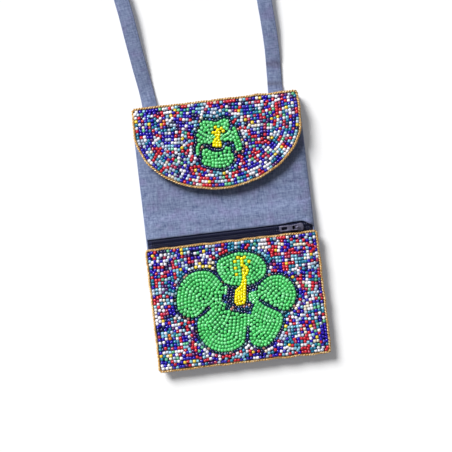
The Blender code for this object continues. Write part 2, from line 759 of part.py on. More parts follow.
def make_pull(middle, pivot_z):
    """A flat tab with an eye round the crown's wire. It turns about the bar at the eye's end."""
    half = PULL_WIDTH / 2
    bar_x = middle + CROWN_LENGTH / 2 - CROWN_WIRE - PULL_PLAY - PULL_BAR / 2
    end = bar_x - PULL_LENGTH
    pivot = (bar_x, ZIP_LINE, pivot_z)
    across = (ZIP_LINE - half, ZIP_LINE + half)
    upright = (pivot_z - PULL_THICKNESS / 2, pivot_z + PULL_THICKNESS / 2)
    tab = box((end, bar_x + PULL_BAR / 2), across, upright)
    pull = add_part("zip_pull", mesh_from("zip_pull", tab, pivot), "gunmetal", pivot)
    round_edges(pull, 0.2 * MM)

    through = (pivot_z - PULL_WIDTH, pivot_z + PULL_WIDTH)
    eye_half = CROWN_WIRE / 2 + 2 * PULL_PLAY
    eye = box(
        (middle - CROWN_LENGTH / 2 - PULL_PLAY, bar_x - PULL_BAR / 2),
        (ZIP_LINE - eye_half, ZIP_LINE + eye_half), through,
    )
    length, width = PULL_WINDOW
    window = box(
        (end + PULL_FRAME, end + PULL_FRAME + length),
        (ZIP_LINE - width / 2, ZIP_LINE + width / 2), through,
    )
    holes = add_cutter("pull_eye", eye), add_cutter("pull_window", window)
    boolean(pull, "DIFFERENCE", *holes)
    bpy.context.view_layer.update()
    for hole in holes:
        hole.parent = pull
        hole.matrix_parent_inverse = pull.matrix_world.inverted()
    pull.rotation_euler.y = -math.radians(PULL_DROOP)


# Flap


def flap_slab(name, inset, under, top, finish, ridges=False):
    half = FLAP_HALF - inset
    shape = slab((-half, half), (FLAP_RIM + inset, FLAP_TOP - inset), under, top, ridges=ridges)
    hinge = (0, HINGE_Y, HINGE_Z)
    obj = add_part(name, mesh_from(name, shape, hinge), finish, hinge)
    boolean(obj, "INTERSECT", outline_cutter(f"{name}_edge", flap_outline(inset)))
    return obj


def make_flap():
    flap_slab("flap_base", TRIM_RADIUS, flap_base_under, flap_base_top, "chambray")
    field = flap_slab(
        "flap_beadwork", TRIM_DIAMETER + GAP, flap_beads_under, flap_beads_top, "confetti_beads",
        ridges=True,
    )
    trim_cord("flap_edging", with_crossings(flap_outline(TRIM_RADIUS)), flap_base_top)

    clearings = make_flower(
        "flap_flower", FLAP_FLOWER_PETALS, FLAP_FLOWER_STAMEN, FLAP_FLOWER_STAMEN, FLAP_FLOWER_SHIFT,
        (FLAP_RIM + FLAP_FLOWER_BELOW, FLAP_TOP - FLAP_FLOWER_ABOVE), flap_beads_under,
    )
    boolean(field, "DIFFERENCE", *clearings)


def make_flap_lining():
    """The lining turns down at the top to the back panel, with a notch over each strap end."""
    inset = TRIM_RADIUS + SIDE_INSET
    lining = flap_slab("flap_lining", inset, flap_under, above(flap_under, LINING), "lining")
    half = FLAP_HALF - inset - FLAP_CORNER
    fold = slab(
        (-half, half), (HINGE_Y - CLOTH / 2, HINGE_Y + CLOTH / 2),
        above(back_top, GAP), above(flap_under, LINING / 2),
    )
    boolean(lining, "UNION", add_cutter("flap_fold", fold))
    for name, x in (("left", STRAP_LEFT), ("right", STRAP_RIGHT)):
        reach = STRAP_WIDTH / 2 + GAP
        notch = box(
            (x - reach, x + reach), (HINGE_Y - 2 * CLOTH, HINGE_Y + 2 * CLOTH),
            (0, strap_end_height(x) + STRAP_THICKNESS / 2 + GAP),
        )
        boolean(lining, "DIFFERENCE", add_cutter(f"{name}_strap_notch", notch))


def make_snap():
    """A magnetic snap: the socket on the front, the stud on the flap's lining."""
    y = TOP - SNAP_SETBACK
    places = (
        ("snap_socket", front_top(0, y) + GAP + SNAP_THICKNESS / 2),
        ("snap_stud", flap_under(0, y) - GAP - SNAP_THICKNESS / 2),
    )
    for name, z in places:
        bm = bmesh.new()
        radius = SNAP_DIAMETER / 2
        bmesh.ops.create_cone(bm, cap_ends=True, segments=24, radius1=radius, radius2=radius,
                              depth=SNAP_THICKNESS)
        bmesh.ops.translate(bm, verts=bm.verts, vec=(0, y, z))
        add_part(name, mesh_from(name, bm, (0, y, z)), "snap_metal", (0, y, z))


# Strap


def strap_end_height(x):
    """Centre height of a strap end, which lies on the back panel."""
    outer = x + math.copysign(STRAP_WIDTH / 2, x)
    return back_top(outer, TOP) + GAP + STRAP_THICKNESS / 2


def strap_route():
    """Points from the left end, along the left leg, round the coil and down the right leg.

    Between its last two points the right leg comes down from the top of the coil.
    """
    left_z, right_z = strap_end_height(STRAP_LEFT), strap_end_height(STRAP_RIGHT)
    route = [Vector((STRAP_LEFT, y, left_z)) for y in (TOP - STRAP_TUCK, TOP + STRAP_EXIT)]
    route += [Vector((x * MM, y * MM, STRAP_REST + bow * MM)) for x, y, bow in LEFT_LEG]
    count = round(COIL_TURNS * 14)
    for i in range(count + 1):
        turned = 360 * COIL_TURNS * i / count
        level = turned // 360 + ease((turned % 360 - COIL_CLIMB[0]) / (COIL_CLIMB[1] - COIL_CLIMB[0]))
        radius = COIL_RADIUS - COIL_SHIFT * turned / 360
        angle = math.radians(180 - turned)
        place = (COIL_X + radius * math.cos(angle), COIL_Y + radius * math.sin(angle))
        route.append(Vector((*place, STRAP_REST + COIL_STEP * level)))
    top_level = COIL_STEP * math.floor(COIL_TURNS)
    low, high = RIGHT_LEG[-2][1], RIGHT_LEG[-1][1]
    for x, y, bow in reversed(RIGHT_LEG):
        share = ease((y - low) / (high - low))
        route.append(Vector((x * MM, y * MM, STRAP_REST + bow * MM + top_level * share)))
    route += [Vector((STRAP_RIGHT, y, right_z)) for y in (TOP + STRAP_EXIT, TOP - STRAP_TUCK)]
    return route


def evenly_spaced(route, spacing):
    """Points at even distances along the smooth curve through the route, none below the table."""
    fine = []
    padded = [2 * route[0] - route[1]] + route + [2 * route[-1] - route[-2]]
    for a, b, c, d in zip(padded, padded[1:], padded[2:], padded[3:]):
        for step in range(24):
            t = step / 24
            fine.append(
                0.5 * (2 * b + (c - a) * t + (2 * a - 5 * b + 4 * c - d) * t**2
                       + (3 * b - a - 3 * c + d) * t**3)
            )
    fine.append(route[-1])
    lengths = [0]
    for first, second in zip(fine, fine[1:]):
        lengths.append(lengths[-1] + (second - first).length)
    count = round(lengths[-1] / spacing)
    found, at = [], 0
    for i in range(count + 1):
        target = lengths[-1] * i / count
        while at < len(fine) - 2 and lengths[at + 1] < target:
            at += 1
        share = (target - lengths[at]) / (lengths[at + 1] - lengths[at])
        found.append(fine[at].lerp(fine[at + 1], share))
        found[-1].z = max(found[-1].z, STRAP_REST)
    return found


def make_strap():
    """A flat band with rounded edges that lies face down along its whole route."""
    curve = bpy.data.curves.new("shoulder_strap", "CURVE")
    curve.dimensions = "3D"
    curve.twist_mode = "Z_UP"
    curve.extrude = (STRAP_WIDTH - STRAP_THICKNESS) / 2
    curve.bevel_depth = STRAP_THICKNESS / 2
    curve.bevel_resolution = 0
    curve.use_fill_caps = True
    route = strap_route()
    points = [route[0], *evenly_spaced(route[1:-1], STRAP_SPACING), route[-1]]
    spline = curve.splines.new("POLY")
    spline.points.add(len(points) - 1)
    for point, place in zip(spline.points, points):
        point.co = (*place, 1)
        point.tilt = math.pi / 2
    add_part("shoulder_strap", curve, "chambray")


def turn_with_flap():
    """Puts the origin of everything that turns with the flap on the hinge."""
    hinge = bpy.data.objects.new("flap_hinge_axis", None)
    hinge.location = (0, HINGE_Y, HINGE_Z)
    parts.objects.link(hinge)
    bpy.context.view_layer.update()
    for obj in parts.objects:
        if obj.name.startswith("flap_") and obj is not hinge or obj.name == "snap_stud":
            obj.parent = hinge
            obj.matrix_parent_inverse = hinge.matrix_world.inverted()


clear_scene()
parts = new_collection("crossbody_pouch")
cutters = new_collection("cutters")
make_shell()
make_panel()
make_zip_tapes()
make_slider()
make_flap()
make_flap_lining()
make_snap()
make_strap()
turn_with_flap()
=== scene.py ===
import random
from math import ceil, cos, exp, pi, radians, sin

import bmesh
import bpy
import numpy as np
from mathutils import Matrix, Vector, noise
from mathutils.bvhtree import BVHTree
from mathutils.kdtree import KDTree


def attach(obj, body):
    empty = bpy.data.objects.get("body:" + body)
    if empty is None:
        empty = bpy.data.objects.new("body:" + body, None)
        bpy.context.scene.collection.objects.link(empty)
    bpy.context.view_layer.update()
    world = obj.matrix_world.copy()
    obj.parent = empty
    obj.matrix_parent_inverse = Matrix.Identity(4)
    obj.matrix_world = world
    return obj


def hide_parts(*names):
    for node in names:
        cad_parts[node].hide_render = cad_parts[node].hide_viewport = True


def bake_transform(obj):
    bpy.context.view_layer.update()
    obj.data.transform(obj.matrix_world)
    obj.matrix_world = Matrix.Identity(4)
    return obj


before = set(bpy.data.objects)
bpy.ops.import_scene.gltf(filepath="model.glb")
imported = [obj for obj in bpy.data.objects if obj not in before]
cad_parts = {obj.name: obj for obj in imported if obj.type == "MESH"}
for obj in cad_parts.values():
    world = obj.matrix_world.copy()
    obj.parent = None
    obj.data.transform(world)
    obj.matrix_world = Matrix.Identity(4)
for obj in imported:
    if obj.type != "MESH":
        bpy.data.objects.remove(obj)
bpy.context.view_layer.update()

mm = 0.001  # everything below is modelled in millimetres and made metres in makePiece


# Camera, floor and light

view = {
    "lens": 100,
    "middle": (-2.5, 4.1),
    "height": 937,  # straight above the pouch
    "turn": -6.8,  # the pouch lies a little askew in the picture
}

camera = bpy.data.objects.new("camera", bpy.data.cameras.new("camera"))
camera.data.lens = view["lens"]
camera.location = Vector((*view["middle"], view["height"])) * mm
camera.rotation_euler = (0, 0, radians(view["turn"]))
bpy.context.scene.collection.objects.link(camera)
bpy.context.scene.camera = camera
bpy.context.scene.view_settings.view_transform = "Standard"


def linear(hexColour):
    channels = [int(hexColour[i:i + 2], 16) / 255 for i in (1, 3, 5)]
    return tuple(c / 12.92 if c <= 0.04045 else ((c + 0.055) / 1.055) ** 2.4 for c in channels) + (1,)


def newMaterial(name, finish):
    material = bpy.data.materials.new(name)
    material.use_nodes = True
    shader = material.node_tree.nodes["Principled BSDF"]
    for socket, value in finish.items():
        shader.inputs[socket].default_value = value
    return material, shader


def addNode(material, kind, settings=None, **inputs):
    # An input is named as its socket is, or i0, i1 and so on by its place. An output given to it is linked.
    node = material.node_tree.nodes.new("ShaderNode" + kind)
    for key, value in (settings or {}).items():
        setattr(node, key, value)
    for key, value in inputs.items():
        socket = node.inputs[int(key[1:])] if key[0] == "i" and key[1:].isdigit() else node.inputs[key]
        if isinstance(value, bpy.types.NodeSocket):
            material.node_tree.links.new(value, socket)
        else:
            socket.default_value = value
    return node


def linkTo(material, output, socket):
    material.node_tree.links.new(output, socket)


studio = {
    "floorSize": 3,  # metres from the middle to an edge
    "floorDrop": 0.1,
    "glow": 0.075,  # lifts the paper to white in the picture only
    "fill": 0.19,  # soft light from all round
    "beyond": 1.05,  # white past the floor's edge, in the picture only
}
softbox = {"from": (-0.5, 0.68, 0.62), "width": 25, "strength": 4.25}  # a wide soft light, upper left

# Matt paper, even and soft: it only takes the shadow
floorMaterial, floorShader = newMaterial("matt_white_paper", {
    "Base Color": linear("#fcfcfc"), "Roughness": 0.95, "Specular IOR Level": 0.1,
    "Emission Color": linear("#ffffff")})
seen = addNode(floorMaterial, "LightPath").outputs["Is Camera Ray"]
glow = addNode(floorMaterial, "Math", {"operation": "MULTIPLY"}, i0=seen, i1=studio["glow"]).outputs[0]
linkTo(floorMaterial, glow, floorShader.inputs["Emission Strength"])
bm = bmesh.new()
bmesh.ops.create_grid(bm, x_segments=1, y_segments=1, size=studio["floorSize"])
floorMesh = bpy.data.meshes.new("floor")
bm.to_mesh(floorMesh)
bm.free()
floorMesh.materials.append(floorMaterial)
floor = bpy.data.objects.new("floor", floorMesh)
floor.location.z = -studio["floorDrop"] * mm
bpy.context.scene.collection.objects.link(floor)

data = bpy.data.lights.new("softbox", "SUN")
data.angle = radians(softbox["width"])
data.energy = softbox["strength"]
lamp = bpy.data.objects.new("softbox", data)
lamp.rotation_euler = Vector(softbox["from"]).to_track_quat("Z", "Y").to_euler()
bpy.context.scene.collection.objects.link(lamp)
world = bpy.data.worlds.new("studio")
world.use_nodes = True
sky = world.node_tree.nodes["Background"]
sky.inputs["Color"].default_value = linear("#fafbff")
seen = addNode(world, "LightPath").outputs["Is Camera Ray"]
strength = addNode(world, "MapRange", Value=seen, i3=studio["fill"], i4=studio["beyond"]).outputs[0]
linkTo(world, strength, sky.inputs["Strength"])
bpy.context.scene.world = world
print("camera, floor and light are ready")


# Heights of the layers above the table, as in the CAD

pouch = {
    "halfWidth": 62.5,
    "seamHalf": 61.9,
    "bottom": -97,
    "top": 97,
    "shoulder": 15,  # from a seam in to where the pouch is full
    "seamLift": 2.6,
    "cloth": 0.8,
    "lining": 0.5,
    "gap": 0.3,
    "seat": 0.25,  # beads, cord and snap stand this far off the cloth
    "mouth": 85,
    "zipLine": -2.9,
    "zipHalf": 4,
    "overBack": 1.1,  # from the back's underside to the lining's, at a seam
    "filling": 4,  # and how much more where the pouch is full
    "sway": 0.4,  # how far the filled middle rises and falls
    "swayLength": 34,
    "pocket": 0.8,  # how high the zip pocket stands at a seam
    "pocketFilling": 1.2,
    "pocketTop": 8.7,
    "slope": 12,
    "flapLift": 2.6,
    "flapDip": 3.8,  # the flap comes down to its fold
    "flapHeight": 1.6,
}


def easeOut(share):
    return 1 - (1 - min(max(share, 0), 1)) ** 3


def ease(share):
    share = min(max(share, 0), 1)
    return share * share * (3 - 2 * share)


def noiseAt(x, y, z):
    return noise.noise(Vector((x, y, z)))


def fullness(x, y):
    side = easeOut((pouch["halfWidth"] - abs(x)) / pouch["shoulder"])
    return side * easeOut((y - pouch["bottom"]) / pouch["shoulder"])


def backUnder(x, y):
    return pouch["seamLift"] * (1 - fullness(x, y))


def dividerUnder(x, y):
    wave = noiseAt(x / pouch["swayLength"], y / pouch["swayLength"], 3)
    calm = ease((abs(y - pouch["zipLine"]) - pouch["zipHalf"]) / 10)  # it doesn't sway at the zip
    sway = pouch["sway"] * wave * calm
    return backUnder(x, y) + pouch["overBack"] + (pouch["filling"] + sway) * fullness(x, y)


def frontUnder(x, y):
    pocket = pouch["pocket"] + pouch["pocketFilling"] * fullness(x, y)
    closing = 1 - ease((y - pouch["pocketTop"]) / pouch["slope"])
    return dividerUnder(x, y) + (pouch["lining"] + pouch["gap"]) + pocket * closing


def frontTop(x, y):
    return frontUnder(x, y) + pouch["cloth"]


def flapUnder(x, y):
    fall = pouch["flapDip"] * ease((y - pouch["mouth"]) / pouch["slope"])
    return frontTop(x, y) + pouch["flapLift"] - fall


def flapBaseTop(x, y):
    return flapUnder(x, y) + pouch["flapHeight"]


# Making pieces


def makePiece(name, bm, material, body, nodes=(), slot=None):
    bmesh.ops.scale(bm, vec=(mm, mm, mm), verts=bm.verts)
    mesh = bpy.data.meshes.new(name)
    bm.to_mesh(mesh)
    bm.free()
    mesh.shade_smooth()
    mesh.materials.append(material)
    piece = bpy.data.objects.new(name, mesh)
    bpy.context.scene.collection.objects.link(piece)
    if body:
        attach(piece, body)
    if nodes:
        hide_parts(*nodes)
    return piece


def gridSheet(across, along, place):
    # A grid whose corner (0, 0) to corner (1, 1) is laid out by the place function, with its UV map
    bm = bmesh.new()
    bm.loops.layers.uv.new("weave")
    bmesh.ops.create_grid(bm, x_segments=across, y_segments=along, size=0.5, calc_uvs=True)
    for vert in bm.verts:
        vert.co = place(vert.co.x + 0.5, vert.co.y + 0.5)
    return bm


def weld(bm, capped=False, near=0.001):
    # Points that lie together become one, open ends are closed and the faces look outwards
    bmesh.ops.remove_doubles(bm, verts=bm.verts, dist=near)
    if capped:
        bmesh.ops.holes_fill(bm, edges=[edge for edge in bm.edges if edge.is_boundary])
    bmesh.ops.recalc_face_normals(bm, faces=bm.faces)
    return bm


def spun(points, axis, steps, closed=False, near=0.001):
    # A profile turned all the way round an axis
    bm = bmesh.new()
    verts = [bm.verts.new(point) for point in points]
    edges = [bm.edges.new(pair) for pair in zip(verts, verts[1:] + verts[:closed])]
    bmesh.ops.spin(bm, geom=verts + edges, cent=(0, 0, 0), axis=axis, angle=2 * pi, steps=steps,
                   use_merge=True)
    return weld(bm, near=near)


def tube(sides, steps, place, closed=False):
    # A tube round a path: place(turn, share) with the turn in radians
    return weld(gridSheet(sides, steps, lambda u, v: place(2 * pi * u, v)), capped=not closed)


def addTo(bm, *others):
    for other in others:
        mesh = bpy.data.meshes.new("part")
        other.to_mesh(mesh)
        other.free()
        bm.from_mesh(mesh)
        bpy.data.meshes.remove(mesh)


def thicken(piece, thickness, rim=0.3):
    solid = piece.modifiers.new("thickness", "SOLIDIFY")
    solid.thickness = thickness * mm
    solid.offset = 1
    bevel = piece.modifiers.new("soft_edge", "BEVEL")
    bevel.width = rim * mm
    bevel.segments = 2
    bevel.limit_method = "ANGLE"
    bevel.angle_limit = radians(50)


def ringSheet(path, hub, height, reach, spacing=4):
    # A sheet inside a closed path, in rings from its edge to the hub
    outline = evenly(path, spacing)[0].tolist()[:-1]
    bm = bmesh.new()
    whole = face = bm.faces.new([bm.verts.new((x, y, 0)) for x, y in outline])
    if sum(a[0] * b[1] - a[1] * b[0] for a, b in zip(outline, outline[1:] + outline[:1])) < 0:
        bmesh.ops.reverse_faces(bm, faces=[face])
    count = ceil(reach / spacing)
    hub = Vector(hub)
    share = 1
    for i in range(1, count):
        nextShare = 1 - i / count
        made = bmesh.ops.extrude_face_region(bm, geom=[face, *face.edges])["geom"]
        face = next(item for item in made if isinstance(item, bmesh.types.BMFace))
        for vert in face.verts:
            vert.co.xy = hub + (vert.co.xy - hub) * nextShare / share
        share = nextShare
    bm.faces.remove(whole)
    for vert in bm.verts:
        vert.co.z = height(vert.co.x, vert.co.y)
    bmesh.ops.triangulate(bm, faces=[face])
    return bm


def catmullRom(points, steps, closed=False):
    points = [Vector(point) for point in points]
    if closed:
        points = [points[-1], *points, points[0], points[1]]
    else:
        points = [2 * points[0] - points[1], *points, 2 * points[-1] - points[-2]]
    found = []
    for a, b, c, d in zip(points, points[1:], points[2:], points[3:]):
        for step in range(steps):
            t = step / steps
            found.append(0.5 * (2 * b + (c - a) * t + (2 * a - 5 * b + 4 * c - d) * t ** 2
                                + (3 * b - a - 3 * c + d) * t ** 3))
    return found if closed else found + [points[-2]]


def evenly(points, spacing):
    # The same path with points at even distances, and its length
    fine = np.array([tuple(point) for point in points])
    reached = np.concatenate([[0], np.cumsum(np.linalg.norm(np.diff(fine, axis=0), axis=1))])
    count = max(round(reached[-1] / spacing), 1)
    at = np.linspace(0, reached[-1], count + 1)
    return np.stack([np.interp(at, reached, fine[:, k]) for k in range(fine.shape[1])], axis=1), reached[-1]


def loopOf(path):
    return [*path, path[0]]


def directions(points):
    along = np.gradient(points, axis=0)
    return along / np.linalg.norm(along, axis=1)[:, None]


# Cloth materials


def wovenCloth(name, fromUv=None, dark="#57658a", light="#94a1c1", thread=0.9, roughness=0.85, creaseShade=None):
    # Plain-woven cotton: coloured warp, pale weft. Threads are drawn three times too wide,
    # because the real ones are too fine to show; slubs and wear give the mottled blue.
    material, shader = newMaterial(
        name, {"Roughness": roughness, "Specular IOR Level": 0.2, "Sheen Weight": 0.15})
    coordinate = addNode(material, "TexCoord").outputs["UV" if fromUv else "Object"]
    size = (*fromUv, 1) if fromUv else (1000, 1000, 1000)  # to millimetres
    place = addNode(material, "Mapping", Vector=coordinate, Scale=size).outputs["Vector"]
    warpStretch = addNode(material, "Mapping", Vector=place, Scale=(1 / thread, 0.16, 1)).outputs["Vector"]
    weftStretch = addNode(material, "Mapping", Vector=place, Scale=(0.16, 1 / thread, 1)).outputs["Vector"]
    warpSlub = addNode(material, "TexNoise", Vector=warpStretch, Scale=1.0, Detail=2.0).outputs["Fac"]
    weftSlub = addNode(material, "TexNoise", Vector=weftStretch, Scale=1.0, Detail=2.0).outputs["Fac"]
    mottle = addNode(material, "TexNoise", Vector=place, Scale=0.55, Detail=3.0).outputs["Fac"]
    slubs = addNode(material, "Math", {"operation": "ADD"}, i0=warpSlub, i1=weftSlub).outputs[0]
    mixed = addNode(material, "Math", {"operation": "MULTIPLY_ADD"}, i0=mottle, i1=0.8, i2=slubs).outputs[0]
    shade = addNode(material, "MapRange", Value=mixed, i1=1.0, i2=1.82, i3=0.0, i4=1.0).outputs[0]
    colour = addNode(material, "Mix", {"data_type": "RGBA"}, Factor=shade, i6=linear(dark),
                     i7=linear(light)).outputs[2]
    patch = addNode(material, "TexNoise", Vector=place, Scale=0.11, Detail=2.0).outputs["Fac"]
    faded = addNode(material, "MapRange", Value=patch, i1=0.48, i2=0.7, i3=0.0, i4=0.5).outputs[0]
    colour = addNode(material, "Mix", {"data_type": "RGBA", "blend_type": "COLOR"}, Factor=faded, i6=colour,
                     i7=linear("#77749c")).outputs[2]  # worn here and there to a greyish violet
    # Optional painted shade: dark brown where an attribute marks the creases
    if creaseShade:
        creaseShadeMask = addNode(material, "Attribute", {"attribute_name": creaseShade}).outputs["Fac"]
        creaseShadeAmount = addNode(material, "Math", {"operation": "MULTIPLY"}, i0=creaseShadeMask, i1=weftSlub).outputs[0]
        colour = addNode(material, "Mix", {"data_type": "RGBA"}, Factor=creaseShadeAmount, i6=colour,
                         i7=linear("#3c2a2c")).outputs[2]
    linkTo(material, colour, shader.inputs["Base Color"])
    waveScale = 0.314 / thread  # a wave of this texture is 0.314 long at scale 1
    warp, weft = (addNode(material, "TexWave", {"bands_direction": way}, Vector=place, Scale=waveScale,
                          Distortion=0.6).outputs["Fac"] for way in "XY")
    weave = addNode(material, "Math", {"operation": "MAXIMUM"}, i0=warp, i1=weft).outputs[0]
    relief = addNode(material, "Math", {"operation": "MULTIPLY_ADD"}, i0=slubs, i1=0.6, i2=weave).outputs[0]
    bump = addNode(material, "Bump", Height=relief, Strength=0.35, Distance=0.25 * mm).outputs["Normal"]
    linkTo(material, bump, shader.inputs["Normal"])
    return material


chambray = wovenCloth("chambray_cotton_woven")
# Painted shade: the cloth under the beads is made dark navy, so the gaps between beads read as shadow
shadeDarkBeadGround = wovenCloth("backing_cotton_painted_shade", dark="#283064", light="#3c4c82")
liningCloth = wovenCloth("lining_cotton_woven", dark="#3c4a78", light="#6575a6", thread=0.7)


# Strap: a flat folded band that leaves the top at both sides, its spare length coiled above

strap = {
    "width": 11,
    "thickness": 1.8,
    "girth": 25.5,
    "left": -48.4,
    "right": 45.8,
    "tuck": 9,  # sewn in this far below the top
    "exit": 1.5,
    "spacing": 2.5,
    # x, y and how far the leg bows up off the table
    "leftLeg": ((-49.6, 111, 0), (-52.2, 128, 1.5), (-55.2, 149, 3.4),
                (-58.2, 171, 4.6), (-62.5, 196, 3.4), (-67.4, 224, 0.5)),
    "rightLeg": ((46.4, 111, 0), (47, 129, 1.5), (46.6, 148, 3.4),
                 (45.6, 166, 4.6), (45.4, 188, 3.9), (46.4, 212, 0.5)),
    "coilMiddle": (-4, 255),
    "coilRadius": 66,
    "coilShift": 6,
    "coilStep": 2.2,
    "turns": 2.5,
    "turnSteps": 14,
    "climb": (290, 325),  # degrees between which a turn climbs onto the one before
    "rest": 0.95,
    "folds": (16.8, 31.5),  # from the right end, where folds cross it: dented, with painted shade in their creases
    "foldWidth": 1.9,
    "foldSlant": 0.12,
    "creaseShadeBelow": 140,
    "creaseShadeMiddle": 46.5,
}


def strapEnd(x):
    outer = x + (0.5 if x > 0 else -0.5) * strap["width"]
    return backUnder(outer, pouch["top"]) + pouch["cloth"] + pouch["gap"] + strap["thickness"] / 2


def strapRoute():
    top = pouch["top"]
    route = [(strap["left"], top - strap["tuck"], strapEnd(strap["left"])),
             (strap["left"], top + strap["exit"], strapEnd(strap["left"]))]
    route += [(x, y, strap["rest"] + bow) for x, y, bow in strap["leftLeg"]]
    count = round(strap["turns"] * strap["turnSteps"])
    low, high = strap["climb"]
    coilX, coilY = strap["coilMiddle"]
    for i in range(count + 1):
        turned = 360 * strap["turns"] * i / count
        level = turned // 360 + ease((turned % 360 - low) / (high - low))
        radius = strap["coilRadius"] - strap["coilShift"] * turned / 360
        angle = radians(180 - turned)
        route.append((coilX + radius * cos(angle), coilY + radius * sin(angle),
                      strap["rest"] + strap["coilStep"] * level))
    topLevel = strap["coilStep"] * (strap["turns"] // 1)
    legLow, legHigh = strap["rightLeg"][-2][1], strap["rightLeg"][-1][1]
    for x, y, bow in reversed(strap["rightLeg"]):
        route.append((x, y, strap["rest"] + bow + topLevel * ease((y - legLow) / (legHigh - legLow))))
    route += [(strap["right"], top + strap["exit"], strapEnd(strap["right"])),
              (strap["right"], top - strap["tuck"], strapEnd(strap["right"]))]
    return route


strapPath, strapLength = evenly(catmullRom(strapRoute(), 24), strap["spacing"])
strapPath[:, 2] = np.maximum(strapPath[:, 2], strap["rest"])
strapAlong = directions(strapPath)

# The band's section, across and up: folded edges, and the dip of a seam near each edge
strapSection = [(-5.45, 0.3), (-4.95, 0.78), (-4.35, 0.6), (-3.75, 0.84), (-1.4, 0.9), (1.4, 0.9),
                (3.75, 0.84), (4.35, 0.6), (4.95, 0.78), (5.45, 0.3), (5.45, -0.3), (4.85, -0.8),
                (1.6, -0.88), (-1.6, -0.88), (-4.85, -0.8), (-5.45, -0.3)]


def strapFold(fromEnd, across):
    # How deep a fold across the strap is there, from 0 to 1
    fromEnd += strap["foldSlant"] * across
    return sum(exp(-((fromEnd - fold) / strap["foldWidth"]) ** 2) for fold in strap["folds"])


def strapPlace(u, v):
    at = v * (len(strapPath) - 1)
    station = min(round(at), len(strapPath) - 1)
    across, up = strapSection[round(u * len(strapSection)) % len(strapSection)]
    along = Vector(strapAlong[station])
    side = Vector((along.y, -along.x, 0)).normalized()
    above = side.cross(along)
    reached = v * strapLength
    across *= 1 + 0.022 * noiseAt(reached / 17, across * 0.2, 8)
    if up > 0:
        ripple = 0.12 * noiseAt(reached / 9, across / 4, 2)
        up += ripple - 0.5 * strapFold(strapLength - reached, across)
    return Vector(strapPath[station]) + side * across + above * up


bm = weld(gridSheet(len(strapSection), len(strapPath) - 1, strapPlace), capped=True)
# Painted shade: the creases of the folds near the right end are coloured dark brown
creaseShade = bm.verts.layers.float.new("creaseShade")
for vert in bm.verts:
    if vert.co.x > 0 and vert.co.y < strap["creaseShadeBelow"]:
        fromEnd = vert.co.y - pouch["top"] + strap["tuck"]
        vert[creaseShade] = min(strapFold(fromEnd, vert.co.x - strap["creaseShadeMiddle"]), 1)
strapCloth = wovenCloth("strap_chambray_folded", fromUv=(strap["girth"], strapLength), creaseShade="creaseShade")
strapPiece = makePiece("strap", bm, strapCloth, "pouch", ["shoulder_strap"], "chambray")
strapEnd(strap["left"]) * mm
[tuple(Vector(point) * mm) for point in evenly(strapPath, 16)[0]]
print("strap is ready:", round(strapLength), "mm")


# Pouch cloth


def between(low, high, share):
    return low + (high - low) * share


def panelPlace(xRange, yRange, height):
    def place(u, v):
        x, y = between(*xRange, u), between(*yRange, v)
        return Vector((x, y, height(x, y)))
    return place


def backPlace(u, v):
    # Its top corners are turned in round
    y = between(pouch["bottom"], pouch["top"], v)
    turnedIn = 3 - (9 - max(y - pouch["top"] + 3, 0) ** 2) ** 0.5
    x = (pouch["halfWidth"] - turnedIn) * (2 * u - 1)
    return Vector((x, y, backUnder(x, y)))


backPiece = makePiece("backCloth", gridSheet(44, 97, backPlace), chambray,
                      "pouch", ["back_panel"], "chambray")
thicken(backPiece, pouch["cloth"])
dividerPlace = panelPlace((-61.6, 61.6), (-96.2, pouch["mouth"]), dividerUnder)
dividerPiece = makePiece("pocketLining", gridSheet(44, 60, dividerPlace), liningCloth,
                         "pouch", ["pocket_divider"], "lining")
thicken(dividerPiece, pouch["lining"], 0.15)

# Soft creases of the upper front: place, depth, width and height
creases = [(-59, 23.5, 0.55, 6, 3), (57, 17, 0.6, 7, 1.6), (-38, 9, 0.25, 16, 3),
           (20, 16, 0.22, 24, 3.5), (50, 30, 0.4, 9, 2.5)]

# The folded lower edge of the upper front
hem = {
    "line": 0.6,
    "push": 0.9,  # the slider pushes it up
    "pushedAt": 50,
    "slant": 3.4,  # beyond the slider it slants to the seam
    "slantFrom": 54,
    "spread": 8,
    "waver": 0.15,
    "double": 0.35,  # it is folded double
    "overCoil": 1.3,  # and rises over the coil's end
}


def hemLine(x):
    push = hem["push"] * exp(-((x - hem["pushedAt"]) / hem["spread"]) ** 2)
    slant = hem["slant"] * ease((x - hem["slantFrom"]) / hem["spread"])
    return hem["line"] + push - slant + hem["waver"] * noiseAt(x / 14, 5, 0)


def upperFrontPlace(u, v):
    half = pouch["seamHalf"]
    x = between(-half, half, u)
    y = between(hemLine(x), pouch["mouth"], v ** 1.15)  # more rows near the hem
    above = y - hemLine(x)
    fold = hem["double"] * (1 - ease(above / 5)) * ease(above / 0.8)
    overCoil = hem["overCoil"] * ease((x - 53) / 4) * ease((half - x) / 2.5) * ease((3 - y) / 3)
    dents = sum(depth * exp(-((x - dentX) / wide) ** 2 - ((y - dentY - 0.12 * (x - dentX)) / high) ** 2)
                for dentX, dentY, depth, wide, high in creases)
    return Vector((x, y, frontUnder(x, y) + fold + overCoil - dents))


frontPiece = makePiece("upperFront", gridSheet(60, 60, upperFrontPlace), chambray,
                       "pouch", ["upper_front_panel"], "chambray")
thicken(frontPiece, pouch["cloth"], 0.35)


def roundedPath(xHalf, yRange, radius, steps=8):
    low, high = yRange
    found = []
    for xSide, ySide, start in ((1, 1, 0), (-1, 1, 90), (-1, -1, 180), (1, -1, 270)):
        centre = (xSide * (xHalf - radius), (high if ySide > 0 else low) - ySide * radius)
        for step in range(steps + 1):
            angle = radians(start + 90 * step / steps)
            found.append((centre[0] + radius * cos(angle), centre[1] + radius * sin(angle)))
    return found


flap = {"half": 62.3, "top": 98.4, "corner": 3, "arcMiddle": 78.4, "arc": 47, "hub": (0, 72), "reach": 55}


